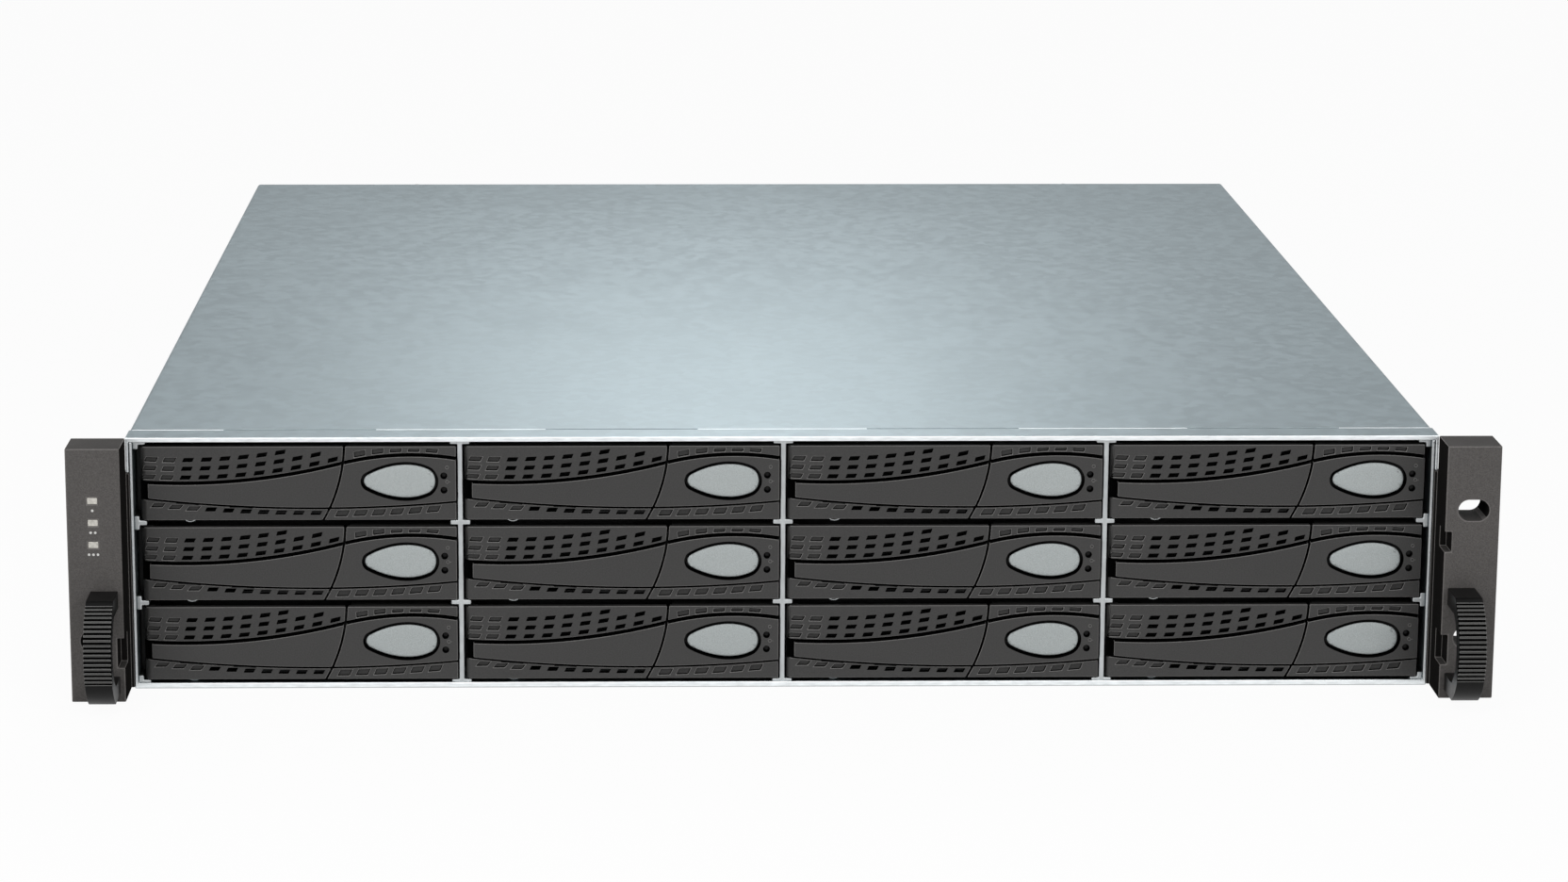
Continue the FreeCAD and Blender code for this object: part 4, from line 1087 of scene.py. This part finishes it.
class ARRAY_OT_ears(bpy.types.Operator):
    """Rack ears, ribbed bow handles, light windows and plain marks"""

    bl_idname = "array.ears"
    bl_label = "Rack ears"

    lip_depth = 3 * MM

    # Dots below the windows: half a window's height, then drop, pitch and radius of the dots
    window_half, dot_drop, dot_pitch, dot_radius = 1.1 * MM, 3.3 * MM, 1.5 * MM, 0.45 * MM

    # Bow handles in millimetres: radii outside and inside, thickness and width
    bow_outer, bow_inner, bow_thick, bow_width = 20, 14, 6, 9.2

    # Grip: number of grooves, their angles in degrees, the grooves' corners and the ribs' lower limits
    groove_count, groove_from, groove_to = 18, -25, 55
    groove_corners = ((19.3, -0.4), (19.3, 0.4), (21, 0.4), (21, -0.4))
    grip_floor, rib_floor = 18.9, 19.75

    def execute(self, context):
        for side in ("left", "right"):
            ear = dress(f"{side}_ear", f"ear_{side}", "chassis", "ear_coat", "ear_coat", 0.4, 3,
                        "ear_edge")
            coat_more(ear, "ear_top", "ear_inner")
            inward = 1 if side == "left" else -1
            # The top faces take painted shade
            tint(ear, 2, lambda face: face.normal.z > 0.9)
            set_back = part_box(f"{side}_ear")[0].y + self.lip_depth
            # The inward faces and the set-back flange's front take near-black painted shade
            tint(ear, 3, lambda face: face.normal.x * inward > 0.8
                 or face.normal.y < -0.8 and face.center.y > set_back)
        self.make_handles()
        dress("status_lenses", "status_windows", "chassis", "lens", "window_lens", 0.25)
        low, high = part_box("status_lenses")
        middle = (low.x + high.x) / 2
        half = self.window_half
        pitch = (high.z - low.z - 2 * half) / 2
        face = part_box("left_ear")[0].y
        marks = []
        for number in range(3):
            z = high.z - half - pitch * number - self.dot_drop
            for step in range(number + 1):
                x = middle + (step - number / 2) * self.dot_pitch
                marks.append(rod("Dot", (x, face, z), self.dot_radius, 0.08 * MM, sides=14))
        marks = coat(join(marks, "ear_marks"), "mark_paint")
        place(marks, "chassis", "lens")
        return {"FINISHED"}

    def make_handles(self):
        """Bow handles: smooth ends, and a grip whose ribs carry a painted highlight and whose grooves
        carry painted shade.
        """
        low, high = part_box("ear_handles")
        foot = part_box("left_ear")[0].y
        far, near, thick = self.bow_outer, self.bow_inner, self.bow_thick * MM
        wide = self.bow_width * MM
        middle = Vector((0, low.y + far * MM, (low.z + high.z) / 2))
        half = (high.z - low.z) / 2 / MM
        outer = math.asin(half / far)
        inner = math.asin((half - self.bow_thick) / near)
        shift = 1 - far * math.cos(outer) + near * math.cos(inner)
        outline = []
        for step in range(49):
            turn = outer * (1 - step / 24)
            outline.append((middle.y - far * MM * math.cos(turn), middle.z + far * MM * math.sin(turn)))
        outline += [(foot, low.z), (foot, low.z + thick)]
        for step in range(25):
            turn = inner * (step / 12 - 1)
            outline.append((middle.y + (shift - near * math.cos(turn)) * MM,
                            middle.z + near * MM * math.sin(turn)))
        outline += [(foot, high.z - thick), (foot, high.z)]
        bows = []
        sweep = self.groove_to - self.groove_from
        for left, right in ((low.x, low.x + wide), (high.x - wide, high.x)):
            bow = prism("Bow", outline, left, right, "X")
            grooves = []
            for step in range(self.groove_count):
                turn = math.radians(self.groove_from + sweep * step / (self.groove_count - 1))
                corners = []
                for deep, side in self.groove_corners:
                    corners.append((middle.y + (side * math.sin(turn) - deep * math.cos(turn)) * MM,
                                    middle.z + (deep * math.sin(turn) + side * math.cos(turn)) * MM))
                grooves.append(prism("Groove", corners, left - 1 * MM, right + 1 * MM, "X"))
            bows.append(carve(bow, join(grooves, "Grooves")))
        bows = join(bows, "bow_handles")
        coat(bows, "handle_plastic", "handle_edge", "handle_rib", "vent_black")
        round_edges(bows, 0.2, 2, highlight_finish=1)
        place(bows, "chassis", "black_plastic", "ear_handles")

        def reach(face):
            return math.hypot(face.center.y - middle.y, face.center.z - middle.z) / MM

        def is_grip(face):
            turn = math.degrees(math.atan2(face.center.z - middle.z, middle.y - face.center.y))
            return self.groove_from - 2 < turn < self.groove_to + 2 and reach(face) > self.grip_floor

        def is_rib(face):
            return reach(face) > self.rib_floor

        # Painted light on the grip: the ribs take a painted highlight and the grooves black painted
        # shade; the smooth ends lose the edge highlight
        tint(bows, 0, lambda face: not is_grip(face))
        tint(bows, 2, lambda face: is_grip(face) and is_rib(face) and face.material_index == 0)
        tint(bows, 3, lambda face: is_grip(face) and not is_rib(face))


# Rear modules


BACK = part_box("chassis_tub")[1].y + 1.5 * MM


def socket(name, centre, size, finish_name):
    """Open box set into a rear face; the size is width, height, rim, depth and rise in millimetres."""
    wide, tall, rim, depth, proud = (measure * MM for measure in size)
    low = Vector((centre[0] - wide / 2, BACK - depth, centre[1] - tall / 2))
    high = Vector((centre[0] + wide / 2, BACK + proud, centre[1] + tall / 2))
    piece = box_shape(name, low, high)
    choose(piece, "FACE", lambda face: face.normal.y > 0.9)
    bpy.ops.mesh.inset(thickness=rim)
    extrude((0, 0.4 * MM - depth - proud, 0))
    close_edit()
    return coat(round_edges(piece, 0.12), finish_name)


def slab(name, centre, size, finish_name, width=0.12):
    """Small rounded block about a centre; its size is in millimetres."""
    half = Vector([measure * MM for measure in size]) / 2
    piece = box_shape(name, Vector(centre) - half, Vector(centre) + half)
    return coat(round_edges(piece, width, 2), finish_name)


def pair(piece, names, shift, stem, slot, stands_in=False):
    """Place a piece on the first of two equal modules, and its copy on the second."""
    copy = repeat(piece, f"{names[1]}_{stem}", shift)
    piece.name = f"{names[0]}_{stem}"
    for name, each in zip(names, (piece, copy)):
        place(each, name, slot, *([name] if stands_in else []))


class ARRAY_OT_controllers(bpy.types.Operator):
    """Controller canisters with ports, vents and ejector levers"""

    bl_idname = "array.controllers"
    bl_label = "Controllers"

    names = ("controller_lower", "controller_upper")

    # Places from the right edge, and sizes of the sockets, in millimetres
    cages, jack, wide = (32, 52), 80, 116
    cage_size = (14.1, 9.3, 0.4, 30, 0.9)
    wide_size = (26.9, 7.9, 0.5, 12, 0.9)
    jack_size = (11.7, 8.1, 0.35, 12, 0.5)

    # Contacts: name, place, number, pitch, depth, height above the middle, size and rounding
    contacts = (("Pin", jack, 8, 1.02, 6, 2.4, (0.45, 9, 0.4), 0.08),
                ("Pad", wide, 13, 1.4, 4, 0.8, (0.7, 6, 0.25), 0.06))

    def execute(self, context):
        low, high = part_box("controller_lower")
        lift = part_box("controller_upper")[0].z - low.z
        level = (low.z + high.z) / 2

        def put(*words):
            pair(words[0], self.names, (0, 0, lift), *words[1:])

        put(self.make_can(high.x, level), "can", "module_shell", True)
        ports = []
        for inset in self.cages:
            ports.append(socket("Cage", (high.x - inset * MM, level), self.cage_size, "plated_shell"))
        wide = high.x - self.wide * MM
        ports.append(socket("Wide", (wide, level), self.wide_size, "plated_shell"))
        jack = high.x - self.jack * MM
        ports.append(socket("Jack", (jack, level), self.jack_size, "plated_shell"))
        put(join(ports, "Ports"), "ports", "bare_aluminium")

        inner = [slab("Tongue", (wide, BACK - 5 * MM, level), (20, 9, 1.6), "black_plastic"),
                 slab("Block", (jack, BACK - 10.8 * MM, level), (10.6, 1.6, 7), "black_plastic")]
        for inset in self.cages:
            spot = (high.x - inset * MM, BACK - 24 * MM, level)
            inner.append(slab("Plug", spot, (12, 4, 3), "black_plastic"))
        put(join(inner, "Inner"), "inserts", "black_plastic")

        contacts = []
        for name, inset, count, pitch, depth, rise, size, width in self.contacts:
            for column in range(count):
                x = high.x - inset * MM + (column - (count - 1) / 2) * pitch * MM
                spot = (x, BACK - depth * MM, level + rise * MM)
                contacts.append(slab(name, spot, size, "gold_contact", width))
        put(join(contacts, "Contacts"), "contacts", "bare_aluminium")

        lights = []
        for column in range(3):
            x = high.x - (95.5 + 3.2 * column) * MM
            lens = rod("Lens", (x, BACK + 0.1 * MM, level), 1.0 * MM, 1.4 * MM, sides=16)
            lights.append(coat(round_edges(lens, 0.3), "window_lens"))
        put(join(lights, "Lights"), "lights", "lens")

        heads = []
        for z in (-15.5, 15.5):
            spot = (high.x - 5 * MM, BACK, level + z * MM)
            heads.append(screw_head("Head", spot, "Y", 2.4 * MM, 0.8 * MM))
        put(coat(join(heads, "Heads"), "steel_screw"), "screws", "screw_steel")
        for name in self.names:
            lever = f"{name}_lever"
            dress(lever, f"{name}_ejector", lever, "black_plastic", "black_plastic", 0.4)
        return {"FINISHED"}

    def make_can(self, right, level):
        """Canister with two rows of blind vent slots in its rear face."""
        can = trace("controller_lower", "controller_lower_can")
        deep = 1.5 * MM
        slots = []
        for row in (-1, 1):
            for column in range(28):
                x = right - (12 + 4.4 * column) * MM
                z = level + row * 12 * MM
                slots.append(box_shape("Slot", (x - 1.1 * MM, BACK - deep, z - 3.5 * MM),
                                       (x + 1.1 * MM, BACK + 1 * MM, z + 3.5 * MM)))
        carve(can, join(slots, "Slots"))
        coat(can, "module_face", "black_plastic")
        round_edges(can, 0.2)
        tint(can, 1, lambda face: face.normal.y > 0.9 and abs(face.center.y - BACK + deep) < 0.05 * MM)
        return can


class ARRAY_OT_power(bpy.types.Operator):
    """Power modules with inlets, switches, latches and guarded fans"""

    bl_idname = "array.power"
    bl_label = "Power modules"

    names = ("power_left", "power_right")

    # Inlet, its pins and the fan's guard, in millimetres
    inlet_size = (24.5, 16.5, 1.2, 14.8, 0.6)
    pin_places = ((-6.5, -1.5), (0, 2.5), (6.5, -1.5))
    guard_radii = (7, 13, 19, 25, 30.5)
    screw_reach = 26

    def execute(self, context):
        low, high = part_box("power_left")
        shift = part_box("power_right")[0].x - low.x
        rotor_low, rotor_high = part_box("fan_left")
        fan = (rotor_low + rotor_high) / 2
        port = low.x + 15.5 * MM
        inlet = low.z + 15 * MM

        def put(*words):
            pair(words[0], self.names, (shift, 0, 0), *words[1:])

        can = trace("power_left", "power_left_can")
        coat(can, "module_face", "black_plastic")
        round_edges(can, 0.35, 3)
        tint(can, 1, lambda face: face.center.y > BACK + 0.5 * MM)
        put(can, "can", "module_shell", True)
        put(self.make_guard(fan), "fan_guard", "screw_steel")

        heads = []
        for across in (-1, 1):
            for up in (-1, 1):
                reach = self.screw_reach * MM
                spot = (fan.x + across * reach, BACK, fan.z + up * reach)
                heads.append(screw_head("Head", spot, "Y", 2.6 * MM, 1.9 * MM))
        put(coat(join(heads, "Heads"), "steel_screw"), "fan_screws", "screw_steel")

        liner = socket("Inlet", (port, inlet), self.inlet_size, "black_plastic")
        put(liner, "inlet", "black_plastic")
        pins = []
        for x, z in self.pin_places:
            spot = (port + x * MM, BACK - 8 * MM, inlet + z * MM)
            pins.append(slab("Pin", spot, (2, 12, 4), "plated_shell", 0.4))
        put(join(pins, "Pins"), "pins", "bare_aluminium")
        spot = (port + 9.5 * MM, BACK + 0.1 * MM, low.z + 54 * MM)
        lens = rod("Lens", spot, 1.5 * MM, 1.6 * MM, sides=20)
        put(coat(round_edges(lens, 0.4), "window_lens"), "light", "lens")

        for side in ("left", "right"):
            self.make_latch(f"power_{side}")
            self.make_rocker(f"power_{side}")
            fan = f"fan_{side}"
            dress(fan, f"{fan}_rotor", fan, "black_plastic", "black_plastic", 0.3)
        return {"FINISHED"}

    def make_guard(self, fan):
        """Wire rings on two crossed spokes."""
        guard = []
        for radius in self.guard_radii:
            spot = (fan.x, BACK + 0.9 * MM, fan.z)
            guard.append(ring("Wire", spot, radius * MM, 0.6 * MM, sides=40, around=8))
        for angle in (45, 135):
            spoke = rod("Spoke", (0, 0, 0), 0.7 * MM, 72 * MM, axis="X", sides=10)
            pick(spoke)
            bpy.ops.transform.rotate(value=math.radians(angle), orient_axis="Y",
                                     center_override=(0, 0, 0))
            settle(spoke)
            spoke.data.transform(Matrix.Translation((fan.x, BACK + 1.7 * MM, fan.z)))
            guard.append(smooth(spoke))
        for wire in guard:
            smooth(wire, 60)
        return coat(join(guard, "Guard"), "steel_screw")

    def make_latch(self, name):
        """Release tab with four thumb ribs."""
        low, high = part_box(f"{name}_latch")
        tab = trace(f"{name}_latch", f"{name}_release")
        coat(tab, "latch_plastic")
        round_edges(tab, 0.4)
        ribs = []
        for step in range(4):
            spot = (low.x + 2.5 * MM, BACK + (3.5 + 2.2 * step) * MM, (low.z + high.z) / 2)
            rib = rod("Rib", spot, 0.5 * MM, high.z - low.z - 2 * MM, axis="Z", sides=12)
            ribs.append(coat(smooth(rib), "latch_plastic"))
        tab = join([tab] + ribs, f"{name}_release")
        place(tab, f"{name}_latch", "black_plastic", f"{name}_latch")

    def make_rocker(self, name):
        """Rocker with two set-in faces."""
        rocker = trace(f"{name}_switch", f"{name}_rocker")
        choose(rocker, "FACE", lambda face: face.normal.y > 0.8)
        bpy.ops.mesh.inset(thickness=1.2 * MM, use_individual=True)
        bpy.ops.transform.shrink_fatten(value=-0.25 * MM)
        close_edit()
        coat(rocker, "black_plastic")
        round_edges(rocker, 0.2)
        place(rocker, f"{name}_switch", "black_plastic", f"{name}_switch")


# Stage


class ARRAY_OT_stage(bpy.types.Operator):
    """Pale floor, soft light and the camera"""

    bl_idname = "array.stage"
    bl_label = "Stage"

    # Place, target and size of each lamp in metres; their powers are among the settings
    lamps = {"Key": ((-0.8, -1.3, 0.95), (-0.05, -0.27, 0.05), (0.7, 0.5)),
             "Fill": ((0.85, -1.25, 0.9), (0.05, -0.27, 0.05), (0.7, 0.5)),
             "Top": ((-0.05, -0.75, 0.95), (0, -0.3, 0.05), (0.9, 0.4)),
             "Back": ((0, 0.8, 0.75), (0, -0.19, 0.088), (0.34, 0.2))}
    back_spread = math.radians(60)

    # Camera as fitted: turn, lift and roll in degrees, place in millimetres, shift in pixels
    camera_angles = (-0.972, 12.626, 0.103)
    camera_spot = (-53.98, -1684.64, 401.71)
    camera_shift = (94.2, 5.6)
    picture_width = 1664

    def execute(self, context):
        settings = context.scene.array_stage
        self.make_floor()
        self.make_world(settings)
        for name, (spot, target, size) in self.lamps.items():
            power = getattr(settings, f"{name.lower()}_power")
            lamp = self.make_light(name, spot, target, size, power)
            if name == "Back":
                lamp.data.spread = self.back_spread
        self.make_camera(settings)
        view = context.scene.view_settings
        view.view_transform = "Standard"
        return {"FINISHED"}

    def seen_rays(self, tree):
        """One for rays that show the background itself: straight, mirrored or through glass."""
        path = tree.nodes.new("ShaderNodeLightPath")
        seen = path.outputs["Is Camera Ray"]
        for name in ("Is Glossy Ray", "Is Transmission Ray"):
            larger = tree.nodes.new("ShaderNodeMath")
            larger.operation = "MAXIMUM"
            tree.links.new(seen, larger.inputs[0])
            tree.links.new(path.outputs[name], larger.inputs[1])
            seen = larger.outputs[0]
        return seen

    def blend(self, tree, end, *ways):
        """Mix two shaders by a share, into the tree's last node."""
        mix = tree.nodes.new("ShaderNodeMixShader")
        for place_in, way in zip(mix.inputs, ways):
            tree.links.new(way, place_in)
        tree.links.new(mix.outputs[0], tree.nodes[end].inputs["Surface"])

    def make_floor(self):
        clear_selection()
        bpy.ops.mesh.primitive_grid_add(x_subdivisions=8, y_subdivisions=8, size=14,
                                        location=(0, 2, -0.0002))
        floor = added("Floor")
        material = bpy.data.materials.new("floor_paper")
        material.use_nodes = True
        tree = material.node_tree
        shader = tree.nodes["Principled BSDF"]
        shader.inputs["Base Color"].default_value = (0.9, 0.9, 0.9, 1)
        shader.inputs["Roughness"].default_value = 0.9
        shader.inputs["Specular IOR Level"].default_value = 0.1
        glow = tree.nodes.new("ShaderNodeEmission")
        glow.inputs["Strength"].default_value = 1.0
        share = tree.nodes.new("ShaderNodeMath")
        share.operation = "MULTIPLY"
        share.inputs[1].default_value = 0.95
        tree.links.new(self.seen_rays(tree), share.inputs[0])
        self.blend(tree, "Material Output", share.outputs[0], shader.outputs[0], glow.outputs[0])
        floor.data.materials.append(material)

    def make_world(self, settings):
        world = bpy.data.worlds.new("Studio")
        bpy.context.scene.world = world
        world.use_nodes = True
        tree = world.node_tree
        even = tree.nodes["Background"]
        seen = tree.nodes.new("ShaderNodeBackground")
        for node, strength in ((even, settings.world), (seen, 1.0)):
            node.inputs["Color"].default_value = (1, 1, 1, 1)
            node.inputs["Strength"].default_value = strength
        self.blend(tree, "World Output", self.seen_rays(tree), even.outputs[0], seen.outputs[0])

    def make_light(self, name, spot, target, size, power):
        clear_selection()
        bpy.ops.object.light_add(type="AREA", location=spot)
        lamp = bpy.context.object
        lamp.name = name
        lamp.data.shape = "ELLIPSE"
        lamp.data.size, lamp.data.size_y = size
        lamp.data.energy = power
        lamp.rotation_mode = "QUATERNION"
        lamp.rotation_quaternion = (Vector(target) - Vector(spot)).to_track_quat("-Z", "Y")
        return lamp

    def make_camera(self, settings):
        clear_selection()
        bpy.ops.object.camera_add()
        camera = bpy.context.object
        turn, lift, roll = (math.radians(angle) for angle in self.camera_angles)
        back = Vector((math.sin(turn) * math.cos(lift), -math.cos(turn) * math.cos(lift),
                       math.sin(lift)))
        right = Vector((math.cos(turn), math.sin(turn), 0))
        up = back.cross(right)
        across = right * math.cos(roll) + up * math.sin(roll)
        upward = up * math.cos(roll) - right * math.sin(roll)
        pose = Matrix((across, upward, back)).transposed().to_4x4()
        camera.matrix_world = Matrix.Translation(Vector(self.camera_spot) * MM) @ pose
        camera.data.lens = settings.lens
        camera.data.sensor_width = 36
        camera.data.shift_x = self.camera_shift[0] / self.picture_width
        camera.data.shift_y = self.camera_shift[1] / self.picture_width
        camera.data.clip_start = 0.05
        camera.data.clip_end = 60
        bpy.context.scene.camera = camera


class ARRAY_PT_panel(bpy.types.Panel):
    """Steps of the storage array in the order in which they run"""

    bl_idname = "ARRAY_PT_panel"
    bl_label = "Storage array"
    bl_space_type = "VIEW_3D"
    bl_region_type = "UI"
    bl_category = "Storage array"

    def draw(self, context):
        layout = self.layout
        for group in SETTINGS:
            settings = getattr(context.scene, group)
            for name in settings.__annotations__:
                layout.prop(settings, name)
        for step in STEPS:
            layout.operator(step.bl_idname)


STEPS = (ARRAY_OT_enclosure, ARRAY_OT_cover, ARRAY_OT_carriers, ARRAY_OT_levers, ARRAY_OT_buttons,
         ARRAY_OT_ears, ARRAY_OT_controllers, ARRAY_OT_power, ARRAY_OT_stage)
SETTINGS = {"array_front": FrontSettings, "array_finish": FinishSettings, "array_stage": StageSettings}


def register():
    for name, settings in SETTINGS.items():
        bpy.utils.register_class(settings)
        setattr(bpy.types.Scene, name, PointerProperty(type=settings))
    for step in STEPS:
        bpy.utils.register_class(step)
    bpy.utils.register_class(ARRAY_PT_panel)


def unregister():
    bpy.utils.unregister_class(ARRAY_PT_panel)
    for step in reversed(STEPS):
        bpy.utils.unregister_class(step)
    for name, settings in SETTINGS.items():
        delattr(bpy.types.Scene, name)
        bpy.utils.unregister_class(settings)


def main():
    register()
    make_finishes(bpy.context.scene.array_finish)
    bpy.ops.array.enclosure()
    bpy.ops.array.cover()
    bpy.ops.array.carriers()
    bpy.ops.array.levers()
    bpy.ops.array.buttons()
    bpy.ops.array.ears()
    bpy.ops.array.controllers()
    bpy.ops.array.power()
    bpy.ops.array.stage()


if __name__ == "__main__":
    main()
